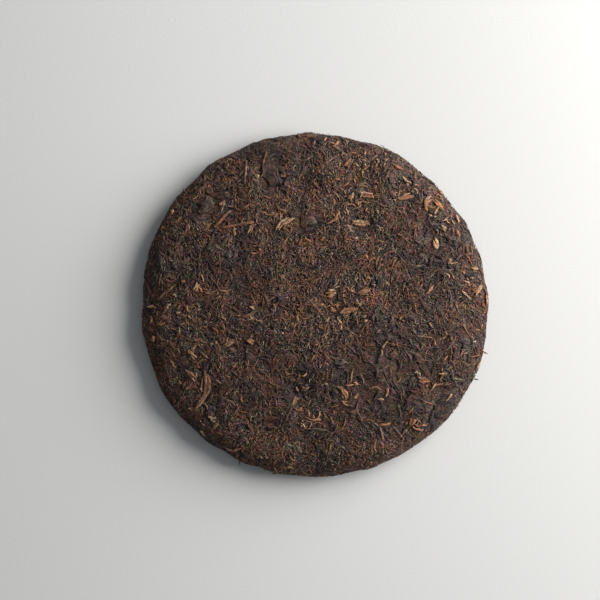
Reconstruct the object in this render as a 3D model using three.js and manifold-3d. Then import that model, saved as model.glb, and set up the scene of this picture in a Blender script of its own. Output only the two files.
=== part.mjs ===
// A round pressed cake of dark aged tea leaf with golden buds, in millimetres, +Z up.
// It lies flat with its domed face up, centred on the Z axis, and stands on z = 0.
// Under its middle is the shallow hollow that the knot of the pressing bag leaves.
// The whole cake is one solid: a lumpy core with its largest leaves, stems and buds fused on.

import * as THREE from "three";
import { mergeVertices } from "three/addons/utils/BufferGeometryUtils.js";
import Module from "manifold-3d";

// The cake's section
const RADIUS = 97.5;
const WAIST_HEIGHT = 8.2; // height of the widest line round the rim
const SHOULDER_RISE = 8.3; // from the waist up to the level of the shoulder
const DOME_RISE = 7.5; // from the shoulder's level up to the middle of the face
const SHOULDER_POWER = 14; // a higher power makes a tighter upper edge
const FOOT_POWER = 12; // the same for the lower edge
const HOLLOW_RADIUS = 27;
const HOLLOW_DEPTH = 7;
const SECTION_STEPS = 160; // samples of the section, from the middle of each side to the rim

// The outline is a circle that a few shallow waves push out of round
const OUTLINE_WAVES = [
  { count: 2, reach: 0.65, crest: -54 },
  { count: 3, reach: 0.53, crest: -56 },
  { count: 4, reach: 0.29, crest: -158 },
  { count: 5, reach: 0.17, crest: -35 },
];

// The core lies a little under the leaves, and its surface is lumpy
const CORE_DETAIL = 10; // each edge of the icosahedron is cut into one more than this
const CORE_RIM_WEIGHT = 0.25; // share of its triangles drawn to where the section turns
const LEAF_BED = 0.8; // how far the core's mean surface lies under the section
const LUMP_COUNT = 9;
const LUMP_HEIGHT = 0.6;
const LUMP_SHORTEST = 18;
const LUMP_LONGEST = 34;
const LUMP_HEADING = 2.4; // radians from one wave's heading to the next one's
const LUMP_TILT = 3; // the same for how far each wave leans over

// Leaves strewn by rule over the whole surface
const LEAF_SEED = 357;
const LEAVES = { face: 110, underside: 48 };
const LEAF_LENGTH = { least: 11, most: 22 };
const LEAF_WIDTH = { least: 2.4, most: 5 };
const LEAF_HEIGHT = { least: 1.6, most: 2.2 };
const LEAF_LIFT = { least: -0.7, most: -0.1 }; // of a leaf's middle from the section
const MOST_BEND = 70; // degrees that a leaf turns from end to end
const STRAIGHT_BEND = 1e-3; // radians that a straight leaf turns, so that its arc has a radius
const LEAF_SIDES = 4;
const LEAF_STEPS = 3;
const FULL_SIDE = Math.SQRT1_2; // turns the sphere's corners into half the leaf's width
const UNDERSIDE_EDGE = 84; // leaves whose middle lies further out belong to the face

// The largest golden buds and stems of the face, each by the place of its middle seen from
// above, its length and width, the heading of its middle and the angle that it turns in all
const SHOWN_BUDS = [
  { x: -17.0, y: 46.3, length: 14.5, width: 3.2, heading: 39, bend: -35 },
  { x: -43.2, y: 44.8, length: 20.0, width: 1.6, heading: 9, bend: 4 },
  { x: -51.4, y: 48.3, length: 14.0, width: 2.0, heading: 47, bend: 8 },
  { x: -82.7, y: 7.8, length: 14.3, width: 1.9, heading: 40, bend: -14 },
  { x: -91.8, y: -0.7, length: 7.0, width: 2.0, heading: -5, bend: 0 },
  { x: -60.9, y: -48.1, length: 26.0, width: 3.0, heading: -108, bend: -75 },
  { x: -69.1, y: -38.5, length: 10.0, width: 2.2, heading: -45, bend: -10 },
  { x: -47.3, y: -21.2, length: 10.0, width: 2.2, heading: 30, bend: 0 },
  { x: -36.1, y: -5.0, length: 10.0, width: 2.0, heading: 22, bend: 10 },
  { x: -45.6, y: -81.1, length: 10.0, width: 1.5, heading: 0, bend: 90 },
  { x: 30.3, y: 61.8, length: 9.5, width: 2.8, heading: -5, bend: -80 },
  { x: 50.4, y: 60.6, length: 12.3, width: 2.2, heading: 19, bend: 0 },
  { x: 62.0, y: 57.5, length: 9.0, width: 2.8, heading: 70, bend: -100 },
  { x: 69.9, y: 56.2, length: 8.5, width: 2.6, heading: -50, bend: -35 },
  { x: 25.9, y: 45.9, length: 12.5, width: 3.6, heading: 3, bend: 20 },
  { x: 10.9, y: 48.0, length: 11.0, width: 1.9, heading: 42, bend: 50 },
  { x: 68.1, y: 34.4, length: 7.0, width: 2.8, heading: -68, bend: 0 },
  { x: 35.4, y: 23.8, length: 10.0, width: 2.8, heading: 75, bend: -40 },
  { x: 64.7, y: 8.8, length: 7.5, width: 2.0, heading: 48, bend: 30 },
  { x: 91.3, y: 8.1, length: 11.0, width: 2.2, heading: 48, bend: 0 },
  { x: 18.8, y: -2.8, length: 12.5, width: 2.6, heading: 25, bend: 0 },
  { x: 27.6, y: 8.1, length: 10.0, width: 3.0, heading: 30, bend: 0 },
  { x: 16.6, y: -48.1, length: 11.5, width: 2.4, heading: -60, bend: -75 },
  { x: 61.3, y: -41.6, length: 9.0, width: 2.8, heading: -10, bend: 0 },
  { x: 37.5, y: -71.6, length: 7.5, width: 1.5, heading: -78, bend: 0 },
  { x: -22.4, y: -94.3, length: 6.0, width: 1.3, heading: -80, bend: 0 },
];
const BUD_HEIGHT = 2;
const BUD_LIFT = -0.2;

const SAME_POINT = 1e-4; // corners closer together than this are one corner

const degrees = THREE.MathUtils.degToRad;
const TURN = 2 * Math.PI;

const wasm = await Module();
wasm.setup();

// Numbers from 0 to 1 that are the same on every run.
function seededDraws(seed) {
  let state = seed >>> 0;
  return () => {
    state = (state + 0x6d2b79f5) >>> 0;
    let mixed = Math.imul(state ^ (state >>> 15), state | 1);
    mixed ^= mixed + Math.imul(mixed ^ (mixed >>> 7), mixed | 61);
    return ((mixed ^ (mixed >>> 14)) >>> 0) / 2 ** 32;
  };
}

// Height of the domed face at a share of the radius.
function faceHeight(share) {
  const shoulder = Math.sqrt(1 - share ** SHOULDER_POWER);
  return WAIST_HEIGHT + SHOULDER_RISE * shoulder + DOME_RISE * (1 - share ** 2);
}

// Height of the underside at a share of the radius, with the knot's hollow in its middle.
function undersideHeight(share) {
  const foot = WAIST_HEIGHT * (1 - Math.sqrt(1 - share ** FOOT_POWER));
  const inHollow = Math.max(0, 1 - ((share * RADIUS) / HOLLOW_RADIUS) ** 2);
  return foot + HOLLOW_DEPTH * inHollow ** 2;
}

// The section as one line from the middle of the face, round the rim, to the middle of the
// underside. Each sample knows the length of line before it, and the share of the core's
// triangles: most follow the area of surface, and the rest follow the turning of the line.
function makeSection() {
  const samples = [];
  for (let i = 0; i <= 2 * SECTION_STEPS; i++) {
    const share = Math.min(1, Math.sin((Math.PI * i) / (2 * SECTION_STEPS)));
    const onFace = i <= SECTION_STEPS;
    const z = onFace ? faceHeight(share) : undersideHeight(share);
    samples.push({ r: share * RADIUS, z, along: 0, area: 0, turned: 0 });
  }
  let heading = 0;
  for (let i = 1; i < samples.length; i++) {
    const [a, b] = [samples[i - 1], samples[i]];
    const step = Math.hypot(b.r - a.r, b.z - a.z);
    const next = Math.atan2(a.z - b.z, b.r - a.r);
    b.along = a.along + step;
    b.area = a.area + step * (a.r + b.r);
    b.turned = a.turned + Math.abs(next - heading);
    heading = next;
  }
  const { area, turned } = samples.at(-1);
  for (const sample of samples) {
    sample.fill = THREE.MathUtils.lerp(sample.area / area, sample.turned / turned, CORE_RIM_WEIGHT);
  }
  return samples;
}

const section = makeSection();
const sectionLength = section.at(-1).along;

// The section's place and outward direction where its length, radius or fill has a value.
function sectionAt(key, value) {
  let high = 1;
  while (high < section.length - 1 && section[high][key] < value) high++;
  const [a, b] = [section[high - 1], section[high]];
  const mix = THREE.MathUtils.clamp((value - a[key]) / (b[key] - a[key]), 0, 1);
  const step = Math.hypot(b.r - a.r, b.z - a.z);
  return {
    along: THREE.MathUtils.lerp(a.along, b.along, mix),
    r: THREE.MathUtils.lerp(a.r, b.r, mix),
    z: THREE.MathUtils.lerp(a.z, b.z, mix),
    outward: (a.z - b.z) / step,
    upward: (b.r - a.r) / step,
  };
}

// How much further out the rim lies at an angle, as a share of the radius.
function outlineShare(angle) {
  const pushed = OUTLINE_WAVES.reduce(
    (sum, wave) => sum + wave.reach * Math.cos(wave.count * angle - degrees(wave.crest)),
    0,
  );
  return 1 + pushed / RADIUS;
}

// The point at an angle and a height above the section's surface.
function pointOver(at, angle, lift) {
  const r = at.r * outlineShare(angle) + at.outward * lift;
  return new THREE.Vector3(r * Math.cos(angle), r * Math.sin(angle), at.z + at.upward * lift);
}

// Lumps in the pressed surface: plane waves through space, each with its own heading.
function lumpHeight(point) {
  let height = 0;
  for (let i = 0; i < LUMP_COUNT; i++) {
    const heading = i * LUMP_HEADING;
    const tilt = i * LUMP_TILT;
    const length = THREE.MathUtils.lerp(LUMP_SHORTEST, LUMP_LONGEST, i / (LUMP_COUNT - 1));
    const across = point.x * Math.cos(heading) + point.y * Math.sin(heading);
    height += Math.sin((TURN * (across + point.z * Math.cos(tilt))) / length + i * i);
  }
  return (LUMP_HEIGHT * height) / Math.sqrt(LUMP_COUNT);
}

// A closed geometry as a solid that can be joined and cut.
function solidFrom(geometry) {
  const bare = new THREE.BufferGeometry();
  bare.setAttribute("position", geometry.getAttribute("position"));
  bare.setIndex(geometry.getIndex());
  const merged = mergeVertices(bare, SAME_POINT);
  const used = [];
  const index = merged.getIndex().array;
  for (let i = 0; i < index.length; i += 3) {
    const [a, b, c] = index.slice(i, i + 3);
    if (a !== b && b !== c && c !== a) used.push(a, b, c);
  }
  return new wasm.Manifold(
    new wasm.Mesh({
      numProp: 3,
      vertProperties: new Float32Array(merged.getAttribute("position").array),
      triVerts: new Uint32Array(used),
    }),
  );
}

// The core: a sphere of even triangles carried onto the section by the share that each takes.
function makeCore() {
  const geometry = new THREE.IcosahedronGeometry(1, CORE_DETAIL);
  geometry.deleteAttribute("normal");
  geometry.deleteAttribute("uv");
  const positions = geometry.getAttribute("position");
  const direction = new THREE.Vector3();
  for (let i = 0; i < positions.count; i++) {
    direction.fromBufferAttribute(positions, i);
    const at = sectionAt("fill", (1 - direction.z) / 2);
    const angle = Math.atan2(direction.y, direction.x);
    const lump = lumpHeight(pointOver(at, angle, 0));
    const point = pointOver(at, angle, lump - LEAF_BED);
    positions.setXYZ(i, point.x, point.y, point.z);
  }
  return solidFrom(geometry);
}

// The point over a spot (u, v) of a side unrolled flat, where the distance from the middle is
// measured along the surface. The underside is turned over, so that up stays outwards.
function pointOnSide(side, u, v, lift) {
  const along = Math.hypot(u, v);
  const onFace = side === "face";
  const at = sectionAt("along", onFace ? along : sectionLength - along);
  const angle = onFace ? Math.atan2(v, u) : -Math.atan2(v, u);
  return pointOver(at, angle, lift + lumpHeight(pointOver(at, angle, 0)));
}

// The spot of the face, unrolled flat, that lies under a place seen from above.
function spotSeen(x, y) {
  const r = Math.hypot(x, y);
  const stretch = sectionAt("r", r / outlineShare(Math.atan2(y, x))).along / r;
  return { x: x * stretch, y: y * stretch };
}

// A leaf: a spindle of flat sides with one of them up, bent along an arc and laid half sunk.
function makeLeaf(leaf) {
  const geometry = new THREE.SphereGeometry(1, LEAF_SIDES, LEAF_STEPS, Math.PI / LEAF_SIDES);
  geometry.deleteAttribute("normal");
  geometry.deleteAttribute("uv");
  const positions = geometry.getAttribute("position");
  const middle = degrees(leaf.heading);
  const bend = degrees(leaf.bend) || STRAIGHT_BEND;
  const arcRadius = leaf.length / bend;
  for (let i = 0; i < positions.count; i++) {
    const heading = middle + (bend * positions.getY(i)) / 2;
    const across = -positions.getX(i) * FULL_SIDE * leaf.width;
    const u = leaf.x + arcRadius * (Math.sin(heading) - Math.sin(middle)) - across * Math.sin(heading);
    const v = leaf.y - arcRadius * (Math.cos(heading) - Math.cos(middle)) + across * Math.cos(heading);
    const lift = positions.getZ(i) * FULL_SIDE * leaf.height + leaf.lift;
    const point = pointOnSide(leaf.side, u, v, lift);
    positions.setXYZ(i, point.x, point.y, point.z);
  }
  return solidFrom(geometry);
}

// Leaves spread evenly over one side by the golden angle, each a little off its place.
function strewnLeaves(side, count, reach, draw) {
  const between = (range) => THREE.MathUtils.lerp(range.least, range.most, draw());
  const goldenAngle = Math.PI * (3 - Math.sqrt(5));
  const spacing = reach / Math.sqrt(count);
  return Array.from({ length: count }, (_, i) => {
    const distance = reach * Math.sqrt((i + 0.5) / count);
    const angle = i * goldenAngle;
    return {
      side,
      x: distance * Math.cos(angle) + spacing * (draw() - 0.5),
      y: distance * Math.sin(angle) + spacing * (draw() - 0.5),
      length: between(LEAF_LENGTH),
      width: between(LEAF_WIDTH),
      height: between(LEAF_HEIGHT),
      lift: between(LEAF_LIFT),
      heading: 360 * draw(),
      bend: MOST_BEND * (2 * draw() - 1),
    };
  });
}

// Every fused leaf, stem and bud. The face's leaves run on over the rim to its lower edge.
function everyLeaf() {
  const draw = seededDraws(LEAF_SEED);
  const faceReach = sectionLength - UNDERSIDE_EDGE;
  return [
    ...strewnLeaves("face", LEAVES.face, faceReach, draw),
    ...strewnLeaves("underside", LEAVES.underside, UNDERSIDE_EDGE, draw),
    ...SHOWN_BUDS.map((bud) => ({
      ...bud,
      ...spotSeen(bud.x, bud.y),
      side: "face",
      height: BUD_HEIGHT,
      lift: BUD_LIFT,
    })),
  ];
}

// Core and leaves joined, cut level where the cake stands, with what the joining seals filled.
function makeCake() {
  const whole = everyLeaf().reduce((cake, leaf) => cake.add(makeLeaf(leaf)), makeCore());
  const tall = 2 * (WAIST_HEIGHT + SHOULDER_RISE + DOME_RISE);
  const wide = 3 * RADIUS;
  const aboveGround = new THREE.BoxGeometry(wide, wide, tall).translate(0, 0, tall / 2);
  const standing = whole.intersect(solidFrom(aboveGround));
  const outermost = standing.decompose().reduce((a, b) => (a.volume() > b.volume() ? a : b));
  const mesh = outermost.getMesh();
  const geometry = new THREE.BufferGeometry();
  geometry.setAttribute("position", new THREE.BufferAttribute(mesh.vertProperties, mesh.numProp));
  geometry.setIndex(new THREE.BufferAttribute(mesh.triVerts, 1));
  geometry.computeVertexNormals();
  return geometry;
}

const pressedLeaf = new THREE.MeshStandardMaterial({
  color: new THREE.Color().setRGB(0.29, 0.226, 0.2, THREE.SRGBColorSpace),
  roughness: 0.75,
  metalness: 0,
  flatShading: true,
});

const teaCake = new THREE.Mesh(makeCake(), pressedLeaf);
teaCake.name = "tea_cake";

const group = new THREE.Group();
group.name = "pu_erh_tea_cake";
group.add(teaCake);

export default group;
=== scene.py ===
"""Looks of a round pressed cake of dark aged tea leaf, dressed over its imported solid."""

import logging
import math
from dataclasses import dataclass, field, fields, replace
from enum import Enum

import bpy
import numpy as np
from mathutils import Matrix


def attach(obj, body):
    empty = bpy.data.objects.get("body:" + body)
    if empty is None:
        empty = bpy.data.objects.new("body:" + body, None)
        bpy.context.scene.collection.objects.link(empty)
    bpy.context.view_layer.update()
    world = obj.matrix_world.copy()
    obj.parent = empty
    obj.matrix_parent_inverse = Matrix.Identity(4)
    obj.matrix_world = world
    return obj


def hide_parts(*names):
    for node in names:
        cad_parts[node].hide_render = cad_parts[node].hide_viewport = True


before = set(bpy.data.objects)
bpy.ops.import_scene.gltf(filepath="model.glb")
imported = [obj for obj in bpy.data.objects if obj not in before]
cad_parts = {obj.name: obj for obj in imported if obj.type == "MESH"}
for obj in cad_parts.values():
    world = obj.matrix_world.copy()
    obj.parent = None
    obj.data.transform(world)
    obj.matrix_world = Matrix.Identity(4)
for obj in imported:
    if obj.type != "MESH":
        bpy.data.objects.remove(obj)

LOG = logging.getLogger("tea_cake")
MM = 0.001  # metres in a millimetre; every size below is in millimetres unless it says otherwise
TURN = 2 * math.pi
GOLDEN_ANGLE = math.pi * (3 - math.sqrt(5))
UV_NAME = "leaf_mm"
WHOLE_PIECE = 100.0  # wider than any piece, so that it is one strand
CROWD_HEADINGS = (0.4, 1.7, 2.9, 4.4, 5.6)
CROWD_REACH = 7.0
CROWD_STEP = 3.1
CROWD_PHASE = 5.0
Colour = tuple[float, float, float]
Socket = bpy.types.NodeSocket


class Slot(Enum):
    """The record's material slots."""

    PRESSED_LEAF = "pressed_leaf"
    GOLDEN_BUD = "golden_bud"
    LEAF_STEM = "leaf_stem"


class BudTone(Enum):
    """Tone and warmth of a shown bud, each from 0 to 1, as its attributes hold them."""

    PALE = (0.95, 0.15)
    TAN = (0.85, 0.40)
    GOLD = (0.75, 0.60)
    ORANGE = (0.68, 0.85)
    RUST = (0.04, 1.00)
    BROWN = (0.28, 0.60)
    DULL = (0.25, 0.35)


@dataclass(frozen=True)
class OutlineWave:
    """One shallow wave of the outline: reach * cos(count * angle - crest)."""

    count: int
    reach: float
    crest: float


@dataclass
class CakeForm:
    """The cake's form, from the same named sizes as its solid.

    The section runs from the middle of the face, round the rim, to the middle of the
    underside, and the outline waves push it in and out. Lumps are plane waves in space.
    """

    radius: float = 97.5
    waist_height: float = 8.2
    shoulder_rise: float = 8.3
    dome_rise: float = 7.5
    shoulder_power: float = 14
    foot_power: float = 12
    hollow_radius: float = 27
    hollow_depth: float = 7
    section_steps: int = 400
    normal_reach: float = 0.4
    lump_count: int = 9
    lump_height: float = 0.6
    lump_shortest: float = 18
    lump_longest: float = 34
    lump_heading: float = 2.4
    lump_tilt: float = 3
    ground_softness: float = 0.08
    rim_start: float = 92
    rim_end: float = 122
    waves: tuple[OutlineWave, ...] = (
        OutlineWave(2, 0.65, -54),
        OutlineWave(3, 0.53, -56),
        OutlineWave(4, 0.29, -158),
        OutlineWave(5, 0.17, -35),
    )
    r: np.ndarray = field(init=False)
    z: np.ndarray = field(init=False)
    along: np.ndarray = field(init=False)
    area: np.ndarray = field(init=False)

    def __post_init__(self) -> None:
        """Samples the section: r = radius * sin(t), z from the two height formulas."""
        t = np.linspace(0, math.pi, 2 * self.section_steps + 1)
        share = np.clip(np.sin(t), 0, 1)
        self.r = share * self.radius
        self.z = np.where(t <= math.pi / 2, self.face_height(share), self.underside_height(share))
        step = np.hypot(np.diff(self.r), np.diff(self.z))
        ring = step * (self.r[1:] + self.r[:-1])
        self.along = np.concatenate(([0], np.cumsum(step)))
        self.area = np.concatenate(([0], np.cumsum(ring)))
        self.area /= self.area[-1]

    def face_height(self, share: np.ndarray) -> np.ndarray:
        """Height of the face: waist + rise * sqrt(1 - share^power) + dome * (1 - share^2).

        Args:
            share: Distance from the axis as a share of the radius.

        Returns:
            Heights over the ground.
        """
        shoulder = np.sqrt(1 - share**self.shoulder_power)
        return self.waist_height + self.shoulder_rise * shoulder + self.dome_rise * (1 - share**2)

    def underside_height(self, share: np.ndarray) -> np.ndarray:
        """Height of the underside: waist * (1 - sqrt(1 - share^power)) + the knot's hollow.

        Args:
            share: Distance from the axis as a share of the radius.

        Returns:
            Heights over the ground.
        """
        foot = self.waist_height * (1 - np.sqrt(1 - share**self.foot_power))
        in_hollow = np.maximum(0, 1 - (share * self.radius / self.hollow_radius) ** 2)
        return foot + self.hollow_depth * in_hollow**2

    def outline_share(self, angle: np.ndarray) -> np.ndarray:
        """How much further out the rim lies: 1 + the sum of the waves / radius.

        Args:
            angle: Angles about the cake's axis.

        Returns:
            Factors on the radius.
        """
        pushed = sum(w.reach * np.cos(w.count * angle - math.radians(w.crest)) for w in self.waves)
        return 1 + pushed / self.radius

    def lumps(self, x: np.ndarray, y: np.ndarray, z: np.ndarray) -> np.ndarray:
        """Lump height: the sum of sin(2 pi (across + z cos(tilt i)) / length + i^2), scaled.

        Args:
            x: First coordinate of the places.
            y: Second coordinate.
            z: Height.

        Returns:
            Heights of the lumps over the section.
        """
        height = np.zeros_like(x)
        for i in range(self.lump_count):
            mix = i / (self.lump_count - 1)
            length = self.lump_shortest + mix * (self.lump_longest - self.lump_shortest)
            heading = i * self.lump_heading
            across = x * math.cos(heading) + y * math.sin(heading)
            height += np.sin(TURN * (across + z * math.cos(i * self.lump_tilt)) / length + i * i)
        return self.lump_height * height / math.sqrt(self.lump_count)

    def over(self, along: np.ndarray, angle: np.ndarray, lift: np.ndarray) -> np.ndarray:
        """Points at a lift above the lumpy surface, outwards along the section's normal.

        What would lie under the ground is pressed up to it by a softened maximum.

        Args:
            along: Length of section from the middle of the face.
            angle: Angle about the cake's axis.
            lift: Height over the surface.

        Returns:
            Points as an array whose last axis is x, y, z.
        """
        along = np.clip(along, 0, self.along[-1])
        r = np.interp(along, self.along, self.r)
        z = np.interp(along, self.along, self.z)
        ahead, behind = along + self.normal_reach, along - self.normal_reach
        run = np.interp(ahead, self.along, self.r) - np.interp(behind, self.along, self.r)
        fall = np.interp(behind, self.along, self.z) - np.interp(ahead, self.along, self.z)
        step = np.maximum(np.hypot(run, fall), 1e-6)
        outward, upward = fall / step, run / step
        share = self.outline_share(angle)
        x0, y0 = r * share * np.cos(angle), r * share * np.sin(angle)
        height = lift + self.lumps(x0, y0, z)
        out = r * share + outward * height
        up = z + upward * height
        up = np.logaddexp(0, up / self.ground_softness) * self.ground_softness
        return np.stack((out * np.cos(angle), out * np.sin(angle), up), axis=-1)

    def on_side(
        self, side: np.ndarray, u: np.ndarray, v: np.ndarray, lift: np.ndarray
    ) -> np.ndarray:
        """Points over spots (u, v) of an unrolled side; the underside is turned over.

        Args:
            side: 1 for the face, which runs on over the rim, and -1 for the underside.
            u: First coordinate of the spot.
            v: Second coordinate of the spot.
            lift: Height over the surface.

        Returns:
            Points as an array whose last axis is x, y, z.
        """
        distance = np.hypot(u, v)
        along = np.where(side > 0, distance, self.along[-1] - distance)
        return self.over(along, side * np.arctan2(v, u), lift)

    def spot_seen(self, x: np.ndarray, y: np.ndarray) -> tuple[np.ndarray, np.ndarray]:
        """The unrolled spot of the face that lies under a place seen from above.

        Args:
            x: First coordinate of the place.
            y: Second coordinate of the place.

        Returns:
            The spot's coordinates u and v.
        """
        r, angle = np.hypot(x, y), np.arctan2(y, x)
        rim = self.section_steps + 1
        along = np.interp(r / self.outline_share(angle), self.r[:rim], self.along[:rim])
        return along * np.cos(angle), along * np.sin(angle)


@dataclass
class MeshData:
    """Arrays of one mesh: points in millimetres, faces, and what its material reads."""

    points: np.ndarray
    quads: np.ndarray
    triangles: np.ndarray
    quad_uv: np.ndarray | None = None
    triangle_uv: np.ndarray | None = None
    attributes: dict[str, np.ndarray] = field(default_factory=dict)

    def to_object(self, name: str) -> bpy.types.Object:
        """Makes the object at the origin, shaded smooth, with its place in its mesh.

        Args:
            name: The object's and the mesh's name.

        Returns:
            The linked object.
        """
        mesh = bpy.data.meshes.new(name)
        corners = np.concatenate((self.quads.ravel(), self.triangles.ravel()))
        sizes = np.repeat((4, 3), (len(self.quads), len(self.triangles)))
        starts = np.concatenate(([0], np.cumsum(sizes)[:-1]))
        mesh.vertices.add(len(self.points))
        mesh.vertices.foreach_set("co", (self.points * MM).astype(np.float32).ravel())
        mesh.loops.add(len(corners))
        mesh.polygons.add(len(sizes))
        mesh.polygons.foreach_set("loop_start", starts.astype(np.int32))
        mesh.loops.foreach_set("vertex_index", corners.astype(np.int32))
        mesh.polygons.foreach_set("use_smooth", np.ones(len(sizes), bool))
        if self.quad_uv is not None and self.triangle_uv is not None:
            layer = mesh.uv_layers.new(name=UV_NAME)
            uv = np.concatenate((self.quad_uv.reshape(-1, 2), self.triangle_uv.reshape(-1, 2)))
            layer.data.foreach_set("uv", uv.astype(np.float32).ravel())
        for label, values in self.attributes.items():
            attribute = mesh.attributes.new(label, "FLOAT", "POINT")
            attribute.data.foreach_set("value", values.astype(np.float32).ravel())
        mesh.update(calc_edges=True)
        mesh.validate()
        piece = bpy.data.objects.new(name, mesh)
        bpy.context.scene.collection.objects.link(piece)
        return piece


@dataclass(frozen=True)
class Span:
    """A range of sizes. Draws lean to its low end where lean is over 1."""

    least: float
    most: float
    lean: float = 1.0

    def draw(self, rng: np.random.Generator, count: int) -> np.ndarray:
        """Draws values by least + (most - least) * u^lean.

        Args:
            rng: Seeded draws.
            count: How many are drawn.

        Returns:
            The values.
        """
        return self.at(rng.random(count) ** self.lean)

    def at(self, share: np.ndarray) -> np.ndarray:
        """Values at shares of the range.

        Args:
            share: Shares from 0 to 1.

        Returns:
            The values.
        """
        return self.least + (self.most - self.least) * share


@dataclass
class Leaves:
    """One value of each quality for every leaf of a piece, as whole arrays.

    Side is 1 on the face and -1 on the underside, and u and v are the middle's spot on it.
    Angles are in radians. Cap is the height that a leaf is pressed down to.
    """

    side: np.ndarray
    u: np.ndarray
    v: np.ndarray
    length: np.ndarray
    width: np.ndarray
    thickness: np.ndarray
    heading: np.ndarray
    bend: np.ndarray
    sway: np.ndarray
    roll: np.ndarray
    twist: np.ndarray
    pitch: np.ndarray
    lift: np.ndarray
    cap: np.ndarray
    tone: np.ndarray
    warmth: np.ndarray

    def __len__(self) -> int:
        """Counts the leaves.

        Returns:
            How many there are.
        """
        return len(self.u)

    @staticmethod
    def joined(*groups: "Leaves") -> "Leaves":
        """Joins groups of leaves into one.

        Args:
            groups: The groups.

        Returns:
            All their leaves, in the groups' order.
        """
        names = [f.name for f in fields(Leaves)]
        return Leaves(**{n: np.concatenate([getattr(g, n) for g in groups]) for n in names})

    def kept(self, keep: np.ndarray) -> "Leaves":
        """Some of the leaves.

        Args:
            keep: True for each leaf that stays.

        Returns:
            Those leaves.
        """
        return Leaves(**{f.name: getattr(self, f.name)[keep] for f in fields(Leaves)})

    def column(self, name: str) -> np.ndarray:
        """One quality as a column, ready to spread along each leaf.

        Args:
            name: The quality's name.

        Returns:
            An array of one row a leaf.
        """
        return getattr(self, name)[:, None]


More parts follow.
